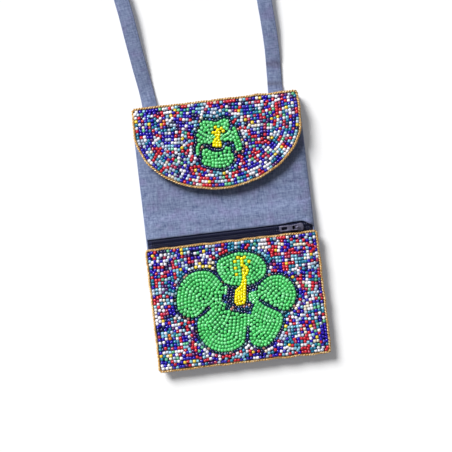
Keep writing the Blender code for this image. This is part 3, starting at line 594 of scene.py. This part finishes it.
def flapPath(inset, steps=60):
    # Two small corners at the top, and an arc below
    half, top, radius = (flap[key] - inset for key in ("half", "top", "corner"))
    found = []
    for xSide in (1, -1):
        for step in range(6):
            angle = radians(90 * (step / 5 if xSide > 0 else 1 - step / 5))
            x, y = half - radius + radius * cos(angle), top - radius + radius * sin(angle)
            found.append((xSide * x, y))
    for step in range(steps + 1):
        angle = pi * (1 + step / steps)
        found.append((half * cos(angle), flap["arcMiddle"] + (flap["arc"] - inset) * sin(angle)))
    return found


panelRim = roundedPath(63.5, (-97.4, -7.4), 2)
bm = ringSheet([*panelRim, (63.5, -11.4)], (0, -52), frontUnder, 64)
panelPiece = makePiece("panelBacking", bm, shadeDarkBeadGround, "pouch", ["beaded_panel_base"], "chambray")
thicken(panelPiece, pouch["cloth"], 0.2)


seam = {"half": 0.75, "sunk": 0.1, "cornerX": 58.4, "cornerY": -93, "corner": 3.5, "end": 84.5}


def seamCorner(x, low, high):
    # One of the bottom corners, between two angles in half turns
    return [(x + seam["corner"] * cos(angle), seam["cornerY"] + seam["corner"] * sin(angle))
            for angle in np.linspace(low * pi, high * pi, 7)]


seamPath = [(-pouch["seamHalf"], seam["end"]), (-pouch["seamHalf"], seam["cornerY"]),
            *seamCorner(-seam["cornerX"], 1, 1.5), *seamCorner(seam["cornerX"], -0.5, 0),
            (pouch["seamHalf"], seam["end"])]
seamPoints = evenly(seamPath, 3)[0]
seamAlong = directions(seamPoints)


def seamPlace(turn, share):
    # A narrow rounded edge along the seam, from the back cloth up to the front cloth
    at = round(share * (len(seamPoints) - 1))
    x, y = seamPoints[at]
    outX, outY = seamAlong[at][1], -seamAlong[at][0]
    bottom, top = backUnder(x, y) + seam["sunk"], frontTop(x, y) - seam["sunk"]
    offset = seam["half"] * cos(turn)
    z = (bottom + top) / 2 + (top - bottom) / 2 * sin(turn)
    return Vector((x + outX * offset, y + outY * offset, z))


makePiece("sideSeams", tube(10, len(seamPoints) - 1, seamPlace), chambray, "pouch", slot="chambray")


def flapBackingUnder(x, y):
    return flapUnder(x, y) + (pouch["lining"] + pouch["gap"])


bm = ringSheet(loopOf(flapPath(1)), flap["hub"], flapBackingUnder, flap["reach"])
flapBacking = makePiece("flapBacking", bm, shadeDarkBeadGround, "flap", ["flap_base"], "chambray")
thicken(flapBacking, pouch["cloth"], 0.2)
bm = ringSheet(loopOf(flapPath(1.6)), flap["hub"], flapUnder, flap["reach"])
flapLining = makePiece("flapLining", bm, liningCloth, "flap", ["flap_lining"], "lining")
thicken(flapLining, pouch["lining"], 0.15)

fold = {"half": 59.4, "backEdge": 96.5, "flapEdge": 96.8, "middle": 96.6, "bulge": 1.1, "waver": 0.12}


def foldPlace(u, v):
    # From the top edge of the back, round the outside, up to the top edge of the flap
    x = between(-fold["half"], fold["half"], u)
    low = backUnder(x, fold["backEdge"]) + 0.5
    high = flapUnder(x, fold["flapEdge"]) + 1.1
    angle = between(-0.5 * pi, 0.5 * pi, v)
    y = fold["middle"] + fold["bulge"] * cos(angle) + fold["waver"] * noiseAt(x / 9, v, 1)
    return Vector((x, y, between(low, high, (1 + sin(angle)) / 2)))


foldPiece = makePiece("flapFold", gridSheet(56, 10, foldPlace), chambray, None, slot="chambray")
thicken(foldPiece, 0.6, 0.15)
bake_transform(foldPiece)
print("pouch cloth is ready")


# Gold cord round the beaded panels: two strands of metallic thread twisted together

cord = {"radius": 1.08, "strand": 0.62, "pitch": 4, "sides": 7, "stepsPerTurn": 10, "wander": 0.7}

# Foil thread, warm, with painted highlights: pale glints painted into its colour, and the same noise gives
# its bump
goldCord, shader = newMaterial("metallic_gold_thread_twisted", {"Metallic": 0.35, "Roughness": 0.45})
coordinate = addNode(goldCord, "TexCoord").outputs["Object"]
paintedGlintAndBump = addNode(goldCord, "TexNoise", Vector=coordinate, Scale=900.0, Detail=2.0).outputs["Fac"]
ramp = addNode(goldCord, "ValToRGB", Fac=paintedGlintAndBump)
ramp.color_ramp.elements.new(0.52)
# The palest stop is a painted glint
goldStopsWithPaintedGlint = ((0.34, "#a87c3c"), (0.52, "#deb06a"), (0.68, "#fbeac2"))
for stop, (position, colour) in zip(ramp.color_ramp.elements, goldStopsWithPaintedGlint):
    stop.position = position
    stop.color = linear(colour)
linkTo(goldCord, ramp.outputs["Color"], shader.inputs["Base Color"])
bump = addNode(goldCord, "Bump", Height=paintedGlintAndBump, Strength=0.3, Distance=0.1 * mm).outputs["Normal"]
linkTo(goldCord, bump, shader.inputs["Normal"])


def twistedCord(path, height):
    points, length = evenly(loopOf(path), cord["pitch"] / cord["stepsPerTurn"])
    turns = round(length / cord["pitch"])
    along = np.roll(points[:-1], -1, axis=0) - np.roll(points[:-1], 1, axis=0)
    along /= np.linalg.norm(along, axis=1)[:, None]
    count = len(points) - 1
    joined = bmesh.new()
    for strand in (0, pi):
        def place(turn, share):
            at = round(share * count) % count
            x, y = points[at]
            outX, outY = along[at][1], -along[at][0]
            wander = cord["wander"] * noiseAt(x / 9, y / 9, 4)
            twist = strand + 2 * pi * turns * at / count
            inner = cord["radius"] - cord["strand"]
            out = wander + inner * cos(twist) + cord["strand"] * cos(turn)
            up = inner * sin(twist) + cord["strand"] * sin(turn)
            z = height(x, y) + pouch["seat"] + cord["radius"] + up
            return Vector((x + outX * out, y + outY * out, z))
        addTo(joined, tube(cord["sides"], count, place, closed=True))
    return joined


makePiece("panelCord", twistedCord(panelRim, frontTop), goldCord, "pouch", ["panel_edging"], "gold_trim")
makePiece("flapCord", twistedCord(flapPath(1), flapBaseTop), goldCord, "flap", ["flap_edging"], "gold_trim")
print("gold cord is ready")


# Seed beads, sewn in rows with the hole along the row

# Size of a bead across its row and along it, and the distances from row to row and bead to bead
beadSizes = {
    "mixed": {"across": 2.54, "along": 2.2, "row": 2.36, "step": 2.22},
    "petal": {"across": 2.85, "along": 2.3, "row": 2.76, "step": 2.3},
    "flapPetal": {"across": 2.65, "along": 2.38, "row": 2.42, "step": 2.38},
    "small": {"across": 2.05, "along": 1.95, "row": 1.9, "step": 1.88},
    "stamen": {"across": 2.9, "along": 2.3, "row": 2.1, "step": 1.9},
}
patchSize = 17  # the mixed beads run one way within a patch of this size
cellSize = 3  # beads are looked up in squares of this size

# Weight of each colour in the mixed field, and the colours of the flowers
mixedColours = {"#f2f0fa": 17, "#b8c8de": 8, "#2a14b4": 17, "#3c35b4": 4, "#d4283c": 16,
                "#b8385c": 6, "#2480a4": 10, "#88c4dc": 9, "#5a2474": 4, "#1d2058": 3,
                "#66c090": 3, "#f4d23c": 2.5, "#ece2cc": 2, "#de7a34": 0.3}
greenColours = {"#55d272": 4, "#64dc80": 4, "#7ae494": 2}
# In the dark outline, the mid blue, pale blue and pinkish-tan beads are painted glints: lighter beads
# standing in for highlights
darkColours = {"#124558": 5, "#141e60": 4, "#2a1a54": 3, "#44281f": 1,
               "#3a62b0": 1, "#8fb4c4": 0.9, "#b8867c": 0.9}
yellowColours = {"#fff000": 3, "#f6df00": 1}


def beadTemplate():
    # The bead's section is spun about the hole
    profile = [(-0.43, 0.17), (-0.5, 0.33), (-0.37, 0.462), (0, 0.5),
               (0.37, 0.462), (0.5, 0.33), (0.43, 0.17)]
    bm = spun([(x, 0, radius) for x, radius in profile], (1, 0, 0), 8, closed=True, near=0.0001)
    mesh = bpy.data.meshes.new("bead")
    bm.to_mesh(mesh)
    bm.free()
    return mesh


def beadRegion(node):
    # What the node covers from above: a test for inside, its edge as even points, and inward directions
    bm = bmesh.new()
    bm.from_mesh(bpy.data.objects[node].data)
    bmesh.ops.scale(bm, vec=(1000, 1000, 1000), verts=bm.verts)
    bmesh.ops.remove_doubles(bm, verts=bm.verts, dist=0.003)
    bm.normal_update()
    tree = BVHTree.FromBMesh(bm)
    rim = dict.fromkeys(edge for edge in bm.edges
                        if sum(face.normal.z > 0.4 for face in edge.link_faces) == 1)
    edgePoints, inwards = [], []
    while rim:
        edge = next(iter(rim))
        del rim[edge]
        start, vert = edge.verts
        loop = [start.co.xy, vert.co.xy]
        while vert is not start:
            edge = next((item for item in vert.link_edges if item in rim), None)
            if edge is None:
                break
            del rim[edge]
            vert = edge.other_vert(vert)
            loop.append(vert.co.xy)
        if sum((b - a).length for a, b in zip(loop, loop[1:])) < 4:
            continue
        points = evenly(loop, 0.3)[0][:-1]
        along = np.roll(points, -2, axis=0) - np.roll(points, 2, axis=0)
        along /= np.maximum(np.linalg.norm(along, axis=1)[:, None], 1e-6)
        inward = np.stack([-along[:, 1], along[:, 0]], axis=1)
        for i, (point, way) in enumerate(zip(points, inward)):
            if not covers(tree, *(point + 0.4 * way)):
                inward[i] = -way
        edgePoints.append(points)
        inwards.append(inward)
    bm.free()
    return {"tree": tree, "edge": np.concatenate(edgePoints), "inward": np.concatenate(inwards)}


def covers(tree, x, y):
    return tree.ray_cast(Vector((x, y, 50)), Vector((0, 0, -1)))[0] is not None


def distanceTo(points, edge):
    found = np.full(len(points), np.inf)
    for start in range(0, len(edge), 400):
        part = edge[start:start + 400]
        found = np.minimum(found, np.sqrt(((points[:, None] - part[None]) ** 2).sum(axis=2)).min(axis=1))
    return found


def addBeads(field, points, angles, margin, tight=0.97):
    # Takes each place that is inside, off the edge and clear of every bead already on the panel
    if not len(points):
        return
    half = field["size"]["step"] / 2
    for (x, y), angle, off in zip(points, angles, distanceTo(points, field["edge"])):
        if off < margin or not covers(field["tree"], x, y):
            continue
        column, line = int(x // cellSize), int(y // cellSize)
        cells = [(column + i, line + j) for i in (-1, 0, 1) for j in (-1, 0, 1)]
        near = (item for cell in cells for item in field["laid"].get(cell, ()))
        if any((x - item[0]) ** 2 + (y - item[1]) ** 2 < (tight * (half + item[2])) ** 2 for item in near):
            continue
        field["laid"].setdefault((column, line), []).append((x, y, half))
        field["beads"].append((x, y, angle))


def rowsAlongEdge(field, rows, first=0.9, margin=0.75, outerOf=None, beyond=0):
    # Rows that follow the edge, or only the part of it that faces away from a middle, beyond a reach
    edge, inward = field["edge"], field["inward"]
    if outerOf is not None:
        away = edge - np.array(outerOf)
        reach = np.linalg.norm(away, axis=1)
        keep = ((away * -inward).sum(axis=1) > -0.2 * reach) & (reach > beyond)
        edge, inward = edge[keep], inward[keep]
    angles = np.arctan2(-inward[:, 0], inward[:, 1])
    for row in range(rows):
        depth = first + row * field["size"]["row"]
        points = edge + inward * depth
        keep = distanceTo(points, edge) > depth - 0.12
        addBeads(field, points[keep], angles[keep], margin, 0.995)


def rowsInPatches(field, rng, turnOf, size, margin=0.75):
    # Straight rows in patches that each run their own way
    low, high = field["edge"].min(axis=0), field["edge"].max(axis=0)
    columns, lines = (ceil(reach / size) for reach in high - low)
    centres = np.array([[start + (at + rng.uniform(-0.35, 0.35)) * size for start, at in zip(low, (i, j))]
                        for i in range(columns + 1) for j in range(lines + 1)])
    gaps = field["size"]["step"], field["size"]["row"]
    xs, ys = np.meshgrid(*(np.arange(-1.5 * size, 1.5 * size, gap) for gap in gaps))
    for i, centre in enumerate(centres):
        turn = turnOf(rng)
        turnedX = centre[0] + xs * cos(turn) - ys * sin(turn)
        turnedY = centre[1] + xs * sin(turn) + ys * cos(turn)
        points = np.stack([turnedX, turnedY], axis=2).reshape(-1, 2)
        points = points[((points[:, None] - centres[None]) ** 2).sum(axis=2).argmin(axis=1) == i]
        addBeads(field, points, np.full(len(points), turn), margin, 0.96)


def fillGaps(field, rng, margin=0.6, tight=0.84):
    low, high = field["edge"].min(axis=0), field["edge"].max(axis=0)
    tries = int(3 * (high[0] - low[0]) * (high[1] - low[1]) / field["size"]["step"])
    for tightness in (0.97, tight):
        points = np.array([(rng.uniform(low[0], high[0]), rng.uniform(low[1], high[1]))
                           for _ in range(tries)])
        addBeads(field, points, np.array([rng.uniform(0, pi) for _ in range(tries)]), margin, tightness)


def settle(field, spill, rounds=7, pull=0.6, spacing=0.5):
    # The beads spread evenly: each moves towards the middle of the cloth that lies nearest to it.
    # With a spill the cloth reaches that far beyond the field's outer edge, up to the cord.
    low, high = field["edge"].min(axis=0) - spill, field["edge"].max(axis=0) + spill
    hub = (low + high) / 2
    cloth = []
    for x in np.arange(low[0], high[0], spacing):
        for y in np.arange(low[1], high[1], spacing):
            inner = hub + (np.array((x, y)) - hub) * (1 - spill / max(np.hypot(x - hub[0], y - hub[1]), 1))
            if covers(field["tree"], x, y) or covers(field["tree"], *inner):
                cloth.append((x, y))
    beads = np.array(field["beads"])
    for _ in range(rounds):
        tree = KDTree(len(beads))
        for i, (x, y, _) in enumerate(beads):
            tree.insert((x, y, 0), i)
        tree.balance()
        nearest = np.array([tree.find((x, y, 0))[1] for x, y in cloth])
        count = np.maximum(np.bincount(nearest, minlength=len(beads)), 1)
        for axis in (0, 1):
            total = np.bincount(nearest, weights=[place[axis] for place in cloth], minlength=len(beads))
            middle = total / count
            beads[:, axis] += pull * np.where(middle != 0, middle - beads[:, axis], 0)
    field["beads"] = [tuple(bead) for bead in beads]


def pickColours(beads, palette, rng, together):
    # With together above 0, beads of one colour lie in groups of two or three
    names, weights = list(palette), list(palette.values())
    groups = [(*rng.choice(beads)[:2], rng.choices(names, weights)[0])
              for _ in range(max(len(beads) // 2, 1))]
    places = np.array([group[:2] for group in groups])
    nearest = ((np.array(beads)[:, None, :2] - places[None]) ** 2).sum(axis=2).argmin(axis=1)
    return [groups[i][2] if rng.random() < together else rng.choices(names, weights)[0] for i in nearest]


def strungBeads(beads, colours, grown, height, size, rng):
    template = beadTemplate()
    bm = bmesh.new()
    shade = bm.verts.layers.float_color.new("beadColour")
    for _ in beads:
        bm.from_mesh(template)
    count = len(template.vertices)
    verts = list(bm.verts)
    for i, ((x, y, angle), colour, grow) in enumerate(zip(beads, colours, grown)):
        grow *= 1 + rng.uniform(-0.05, 0.05)
        across = size["across"] * grow
        slopeX = (height(x + 1, y) - height(x - 1, y)) / 2
        slopeY = (height(x, y + 1) - height(x, y - 1)) / 2
        lean = Vector((0, 0, 1)).rotation_difference(Vector((-slopeX, -slopeY, 1))).to_matrix().to_4x4()
        lift = 0.42 * across + rng.uniform(-0.08, 0.08)  # they sink a little into the cloth
        matrix = (Matrix.Translation((x, y, height(x, y) + lift)) @ lean
                  @ Matrix.Rotation(angle + rng.uniform(-0.1, 0.1), 4, "Z")
                  @ Matrix.Diagonal((1, 1, 0.9, 1))
                  @ Matrix.Rotation(rng.uniform(0, pi), 4, "X")
                  @ Matrix.Diagonal((size["along"] * grow, across, across, 1)))
        shaded = Vector(linear(colour)[:3]) * (1 + rng.uniform(-0.12, 0.12))
        for vert in verts[i * count:(i + 1) * count]:
            vert.co = matrix @ vert.co
            vert[shade] = (*shaded, 1)
    bpy.data.meshes.remove(template)
    return bm


def glassBeads(name, roughness=0.2, coat=0.3):
    # Pressed and fire-polished opaque glass: even colour, a small sharp highlight on each bead
    material, shader = newMaterial(
        name, {"Roughness": roughness, "IOR": 1.52, "Coat Weight": coat, "Coat Roughness": 0.1})
    colour = addNode(material, "Attribute", {"attribute_name": "beadColour"}).outputs["Color"]
    coordinate = addNode(material, "TexCoord").outputs["Object"]
    cloud = addNode(material, "TexNoise", Vector=coordinate, Scale=420.0, Detail=1.0).outputs["Fac"]
    level = addNode(material, "MapRange", Value=cloud, i3=0.86, i4=1.14).outputs[0]
    varied = addNode(material, "VectorMath", {"operation": "SCALE"}, i0=colour, Scale=level).outputs[0]
    linkTo(material, varied, shader.inputs["Base Color"])
    return material


mixedGlass = glassBeads("opaque_glass_mixed")
greenGlass = glassBeads("opaque_glass_green", 0.28, 0.15)
darkGlass = glassBeads("lustre_glass_dark", 0.12, 0.8)
yellowGlass = glassBeads("opaque_glass_yellow")
beadKinds = {
    "mixed": (mixedGlass, "confetti_beads", mixedColours),
    "petal": (greenGlass, "green_beads", greenColours),
    "flapPetal": (greenGlass, "green_beads", greenColours),
    "small": (darkGlass, "dark_beads", darkColours),
    "stamen": (yellowGlass, "yellow_beads", yellowColours),
}

# Where two petals run together, the beads between them are green
petalsJoin = [((-17, -50), 5.2), ((-12.5, -55), 3), ((4.5, -67), 4.2), ((13, -50), 4.6), ((-9, -43), 2.6)]
flapPetalsJoin = [((-5, 69.5), 4.6), ((-11.5, 71), 3), ((-11.8, 75.8), 2.2),
                  ((3.5, 69.5), 4.2), ((9.5, 70.5), 3), ((-0.5, 74), 3)]
# The yellow tips of the stamens lie between the green beads
anthers = [(2.1, -20.7), (0.5, -23.2), (-0.2, -28.2), (1.3, -32.3), (10.6, -24.4), (7.3, -21.1)]
flapAnthers = [(-0.9, 77.4), (2.5, 76.2), (-2.5, 75), (-4.3, 70.4), (2.8, 73)]
beadsLaid = {"pouch": {}, "flap": {}}
beadCounts = []


def beadBase(body):
    cloth = frontTop if body == "pouch" else flapBaseTop
    return lambda x, y: cloth(x, y) + pouch["seat"]


def makeBeads(name, node, kind, lay, seed, together=0, spill=0, spots=(), spotColour=None):
    rng = random.Random(seed)
    body = "flap" if node.startswith("flap") else "pouch"
    material, slot, palette = beadKinds[kind]
    size = beadSizes[kind]
    field = {**beadRegion(node), "node": node, "laid": beadsLaid[body], "beads": [], "size": size}
    lay(field, rng)
    settle(field, spill)
    colours = pickColours(field["beads"], palette, rng, together)
    for (spotX, spotY), reach in spots:
        far = [(x - spotX) ** 2 + (y - spotY) ** 2 for x, y, _ in field["beads"]]
        for i, distance in enumerate(far):
            if distance < reach ** 2 or (not reach and distance == min(far)):
                colours[i] = rng.choice(spotColour)
    larger = bool(spots) and spots[-1][1] > 0  # petal beads are larger than those of the outline
    grown = [1.2 if larger and colour in spotColour else 1 for colour in colours]
    bm = strungBeads(field["beads"], colours, grown, beadBase(body), size, rng)
    beadCounts.append(len(field["beads"]))
    return makePiece(name, bm, material, body, [node], slot)


def mixedTurn(rng):
    # Most patches run across or along the pouch
    return rng.choice((0, pi / 2)) + rng.gauss(0, 0.1) if rng.random() < 0.93 else rng.uniform(0, pi)


def layMixed(field, rng):
    rowsAlongEdge(field, 1)
    if field["node"] == "flap_beadwork":
        rowsAlongEdge(field, 7, outerOf=(0, 112), beyond=60)  # the rows near the curved edge follow it
    rowsInPatches(field, rng, mixedTurn, patchSize)
    fillGaps(field, rng)


def layPetal(middle):
    def lay(field, rng):
        rowsAlongEdge(field, 9, outerOf=middle)
        fillGaps(field, rng)
    return lay


def layStraight(field, rng):
    rowsAlongEdge(field, 1)
    rowsInPatches(field, rng, lambda rng: 0, 100)
    fillGaps(field, rng)


def layOutline(field, rng):
    rowsAlongEdge(field, 5, first=0.95, margin=0.5)
    fillGaps(field, rng, margin=0.5)


def layStamen(field, rng):
    rowsAlongEdge(field, 3, first=1.1, margin=0.7)
    fillGaps(field, rng, margin=0.55)


hibiscusMiddle, flapFlowerMiddle = (1.8, -51), (-0.9, 63)
greens, yellows = list(greenColours), list(yellowColours)
makeBeads("hibiscusStamen", "hibiscus_stamen", "stamen", layStamen, 31)
makeBeads("hibiscusOutline", "hibiscus_outline", "small", layOutline, 30,
          spots=petalsJoin, spotColour=greens)
for i, petal in enumerate(("top", "left", "right", "lower_left", "lower_right")):
    spots = [(spot, 0) for spot in anthers] if petal == "top" else ()
    makeBeads("hibiscusPetal_" + petal, "hibiscus_petal_" + petal, "petal",
              layPetal(hibiscusMiddle), 20 + i, spots=spots, spotColour=yellows)
makeBeads("panelMixedBeads", "panel_beadwork", "mixed", layMixed, 13, together=0.5, spill=0.7)
makeBeads("flapStamen", "flap_flower_stamen", "stamen", layStamen, 45)
makeBeads("flapOutline", "flap_flower_outline", "small", layOutline, 44,
          spots=flapPetalsJoin, spotColour=greens)
for i, petal in enumerate(("top", "left", "right", "bottom")):
    spots = [(spot, 0) for spot in flapAnthers] if petal == "top" else ()
    lay = layStraight if petal == "bottom" else layPetal(flapFlowerMiddle)
    makeBeads("flapPetal_" + petal, "flap_flower_petal_" + petal, "flapPetal", lay, 40 + i,
              spots=spots, spotColour=yellows)
makeBeads("flapMixedBeads", "flap_beadwork", "mixed", layMixed, 33, together=0.3, spill=0.7)
print("beads are ready:", beadCounts, sum(beadCounts))


# Zip: woven tapes, nylon coil, slider and pull

zipper = {
    "tape": 11,
    "tapeThickness": 0.5,
    "tapeDrop": 0.8,  # below the front cloth's underside
    "slit": 0.6,
    "pitch": 1.5,
    "turnSteps": 9,
    "wire": 0.28,
    "reach": 1.25,  # half of a coil turn's width
    "rise": 0.55,
    "coilMiddle": 1.15,  # from the zip's line
    "coilLift": 0.7,
    "end": 61.9,
    "coilEnd": 59.4,
}
line = pouch["zipLine"]

zipTape = wovenCloth("polyester_tape_woven", dark="#161a36", light="#2c3154", thread=0.6, roughness=0.75)
# Dyed monofilament, smooth with long highlights
nylonCoil, shader = newMaterial("nylon_coil_moulded", {"Roughness": 0.38})
coordinate = addNode(nylonCoil, "TexCoord").outputs["Object"]
dye = addNode(nylonCoil, "TexNoise", Vector=coordinate, Scale=300.0).outputs["Fac"]
ramp = addNode(nylonCoil, "ValToRGB", Fac=dye)
ramp.color_ramp.elements[0].color = linear("#171b3a")
ramp.color_ramp.elements[1].color = linear("#2b3054")
linkTo(nylonCoil, ramp.outputs["Color"], shader.inputs["Base Color"])


def tapeUnder(x, y):
    return frontUnder(x, y) - zipper["tapeDrop"]


turns = round(2 * zipper["coilEnd"] / zipper["pitch"])
for label, way in (("upper", 1), ("lower", -1)):
    near = line + way * zipper["slit"]
    far = near + way * zipper["tape"]
    bm = gridSheet(60, 8, panelPlace((-zipper["end"], zipper["end"]), sorted((near, far)), tapeUnder))
    tapePiece = makePiece("zipTape_" + label, bm, zipTape, "pouch", ["zip_tape_" + label], "zip_tape")
    thicken(tapePiece, zipper["tapeThickness"], 0.1)

    def coilPlace(turn, share):
        twist = 2 * pi * turns * share
        wireOut = zipper["wire"] * sin(turn)
        x = between(-zipper["coilEnd"], zipper["coilEnd"], share) + zipper["wire"] * cos(turn)
        y = line + way * zipper["coilMiddle"] + way * zipper["reach"] * cos(twist) + wireOut * cos(twist)
        z = frontUnder(x, line) + zipper["coilLift"] + zipper["rise"] * sin(twist) + wireOut * sin(twist)
        return Vector((x + (0.25 * zipper["pitch"] if way > 0 else 0), y, z))

    bm = tube(5, turns * zipper["turnSteps"], coilPlace)
    makePiece("zipCoil_" + label, bm, nylonCoil, "pouch", ["zip_coil_" + label], "zip_coil")

# Die-cast and plated: grey-violet, paler where it rubs
gunmetal, shader = newMaterial("zinc_cast_gunmetal_plated", {"Metallic": 0.85})
coordinate = addNode(gunmetal, "TexCoord").outputs["Object"]
scuff = addNode(gunmetal, "TexNoise", Vector=coordinate, Scale=700.0, Detail=3.0).outputs["Fac"]
ramp = addNode(gunmetal, "ValToRGB", Fac=scuff)
ramp.color_ramp.elements[0].color = linear("#6c6a84")
ramp.color_ramp.elements[1].color = linear("#a09db8")
linkTo(gunmetal, ramp.outputs["Color"], shader.inputs["Base Color"])
rough = addNode(gunmetal, "MapRange", Value=scuff, i3=0.3, i4=0.5).outputs[0]
linkTo(gunmetal, rough, shader.inputs["Roughness"])

slider = {
    "left": 44,
    "right": 54.2,
    "half": 2.8,
    "plate": 0.7,
    "upper": 9.6,
    "lower": 6,
    "crownHalf": 2.5,
    "crownLeft": 0.8,
    "crownRise": 2.1,
    "wire": 0.5,
    "pivot": (49.95, -2.9, 11.1),
    "pullLength": 13.6,
    "pullHalf": 2.1,
    "pullThickness": 0.8,
    "pullRim": 0.18,
    "droop": 2.5,
}


def smoothPlate(outline, low, high, rim):
    # A flat plate with rounded edges on a closed outline
    bm = bmesh.new()
    face = bm.faces.new([bm.verts.new((x, y, low)) for x, y in outline])
    made = bmesh.ops.extrude_face_region(bm, geom=[face])["geom"]
    raised = [item for item in made if isinstance(item, bmesh.types.BMVert)]
    bmesh.ops.translate(bm, verts=raised, vec=(0, 0, high - low))
    bmesh.ops.recalc_face_normals(bm, faces=bm.faces)
    flat = [edge for edge in bm.edges if abs(edge.verts[0].co.z - edge.verts[1].co.z) < 0.01]
    bmesh.ops.bevel(bm, geom=flat, offset=rim, segments=3, profile=0.5, affect="EDGES", material=-1)
    return bm


def sliderPlate(shape, low, rim):
    outline = [(x, line + y) for x, y in catmullRom(shape, 4, closed=True)]
    return smoothPlate(outline, low, low + slider["plate"], rim)


def mirrored(points):
    return [(x, -y) for x, y in reversed(points)]


left, right, half = slider["left"], slider["right"], slider["half"]
side = [(left + 3, 0.74 * half), (left + 5.6, 0.82 * half), (left + 8, half), (right - 0.6, 0.86 * half),
        (right, 0.3 * half)]
lowerShape = [(left, -0.62 * half), (left + 0.25, 0), (left, 0.62 * half), *side, *mirrored(side)]
# The upper plate is open under the pull's eye
upperSide = [(left + 3.4, 1.05), (left + 2.3, 1.4), (left + 0.2, 1.4), (left, 0.66 * half), *side]
upperShape = [(left + 3.6, 0), *upperSide, *mirrored(upperSide)]
bm = sliderPlate(upperShape, slider["upper"], 0.16)
lowerPlate = sliderPlate(lowerShape, slider["lower"], 0.2)
webOutline = [(x, line + y) for x, y in ((50.6, -0.3), (53.6, -0.3), (53.6, 0.3), (50.6, 0.3))]
web = smoothPlate(webOutline, slider["lower"] + 0.3, slider["upper"] + 0.3, 0.1)
middle = (left + right) / 2
top = slider["upper"] + slider["plate"]
archLeft = middle - slider["crownLeft"]
archRight = middle + (slider["crownHalf"] - slider["wire"])
arch = [(archLeft, -0.3), (archLeft, 0.9), (archLeft + 0.55, 1.85), (middle + 0.4, slider["crownRise"]),
        (archRight - 0.55, 1.85), (archRight, 0.9), (archRight, -0.3)]
archPath = evenly(catmullRom([(x, line, top + up) for x, up in arch], 8), 0.3)[0]
archAlong = directions(archPath)


def archPlace(turn, share):
    at = round(share * (len(archPath) - 1))
    along = Vector(archAlong[at])
    up = Vector((-along.z, 0, along.x))
    return Vector(archPath[at]) + slider["wire"] * (cos(turn) * up + 1.1 * sin(turn) * Vector((0, 1, 0)))


addTo(bm, lowerPlate, web, tube(12, len(archPath) - 1, archPlace))
makePiece("zipSlider", bm, gunmetal, "slider", ["zip_slider"], "gunmetal")

# The pull is a flat curve with two holes, made a mesh before it is placed
pullHalf, pullRim = slider["pullHalf"], slider["pullRim"]
freeEnd = -slider["pullLength"]
side = [(freeEnd, 0.55 * pullHalf), (freeEnd + 0.7, 0.98 * pullHalf), (freeEnd + 4.5, pullHalf),
        (-4.2, 0.92 * pullHalf), (-0.6, 0.9 * pullHalf), (0.45, 0.5 * pullHalf)]
other = mirrored(side)
pullOutline = catmullRom([other[-1], *side, *other[:-1]], 5, closed=True)
window = [(freeEnd + 1.7 + x, y) for x, y in ((0, -0.9), (0, 0.9), (0.3, 1.1), (3.8, 1.1), (4.1, 0.9),
                                              (4.1, -0.9), (3.8, -1.1), (0.3, -1.1))]
eye = [(-3.4, -1.35), (-3.85, -0.9), (-3.85, 0.9), (-3.4, 1.35),
       (-0.9, 1.4), (-0.45, 1), (-0.45, -1), (-0.9, -1.4)]
pullCurve = bpy.data.curves.new("pull", "CURVE")
pullCurve.dimensions = "2D"
pullCurve.fill_mode = "BOTH"
pullCurve.extrude = slider["pullThickness"] / 2 - pullRim
pullCurve.bevel_depth = pullRim
pullCurve.bevel_resolution = 2
pullCurve.offset = -pullRim
for points in (pullOutline, window, eye):
    spline = pullCurve.splines.new("POLY")
    spline.points.add(len(points) - 1)
    for point, place in zip(spline.points, points):
        point.co = (*place, 0, 1)
    spline.use_cyclic_u = True
guide = bpy.data.objects.new("pull", pullCurve)
bpy.context.scene.collection.objects.link(guide)
bpy.context.view_layer.update()
bm = bmesh.new()
bm.from_mesh(bpy.data.meshes.new_from_object(guide.evaluated_get(bpy.context.evaluated_depsgraph_get())))
bpy.data.objects.remove(guide)
weld(bm)
bm.transform(Matrix.Translation(slider["pivot"]) @ Matrix.Rotation(-radians(slider["droop"]), 4, "Y"))
makePiece("zipPull", bm, gunmetal, "pull", ["zip_pull"], "gunmetal")
print("zip is ready")


# Magnetic snap under the flap

# Pressed caps with a soft mirror finish
nickel, shader = newMaterial(
    "steel_pressed_nickel_plated", {"Base Color": linear("#c9c6bd"), "Metallic": 1})
coordinate = addNode(nickel, "TexCoord").outputs["Object"]
scuff = addNode(nickel, "TexNoise", Vector=coordinate, Scale=500.0, Detail=3.0).outputs["Fac"]
rough = addNode(nickel, "MapRange", Value=scuff, i3=0.2, i4=0.36).outputs[0]
linkTo(nickel, rough, shader.inputs["Roughness"])

snap = {"place": (0, 47), "studDrop": 1.1, "steps": 40}
socketProfile = [(0, 0), (6.3, 0), (6.5, 0.15), (6.4, 0.45), (5.6, 0.8), (3.1, 0.85), (2.7, 0.7),
                 (2.6, 0.25), (0, 0.25)]
studProfile = [(0, 0.85), (6.3, 0.85), (6.5, 0.7), (6.3, 0.4), (5.6, 0.2), (2.3, 0.12), (2.1, 0),
               (1.6, -0.05), (0, -0.05)]
for name, node, body, profile, base in (
    ("snapSocket", "snap_socket", "pouch", socketProfile, frontTop(*snap["place"]) + pouch["seat"]),
    ("snapStud", "snap_stud", "flap", studProfile, flapUnder(*snap["place"]) - snap["studDrop"]),
):
    bm = spun([(radius, 0, z) for radius, z in profile], (0, 0, 1), snap["steps"])
    bmesh.ops.translate(bm, verts=bm.verts, vec=(*snap["place"], base))
    makePiece(name, bm, nickel, body, [node], "snap_metal")
print("snap is ready")
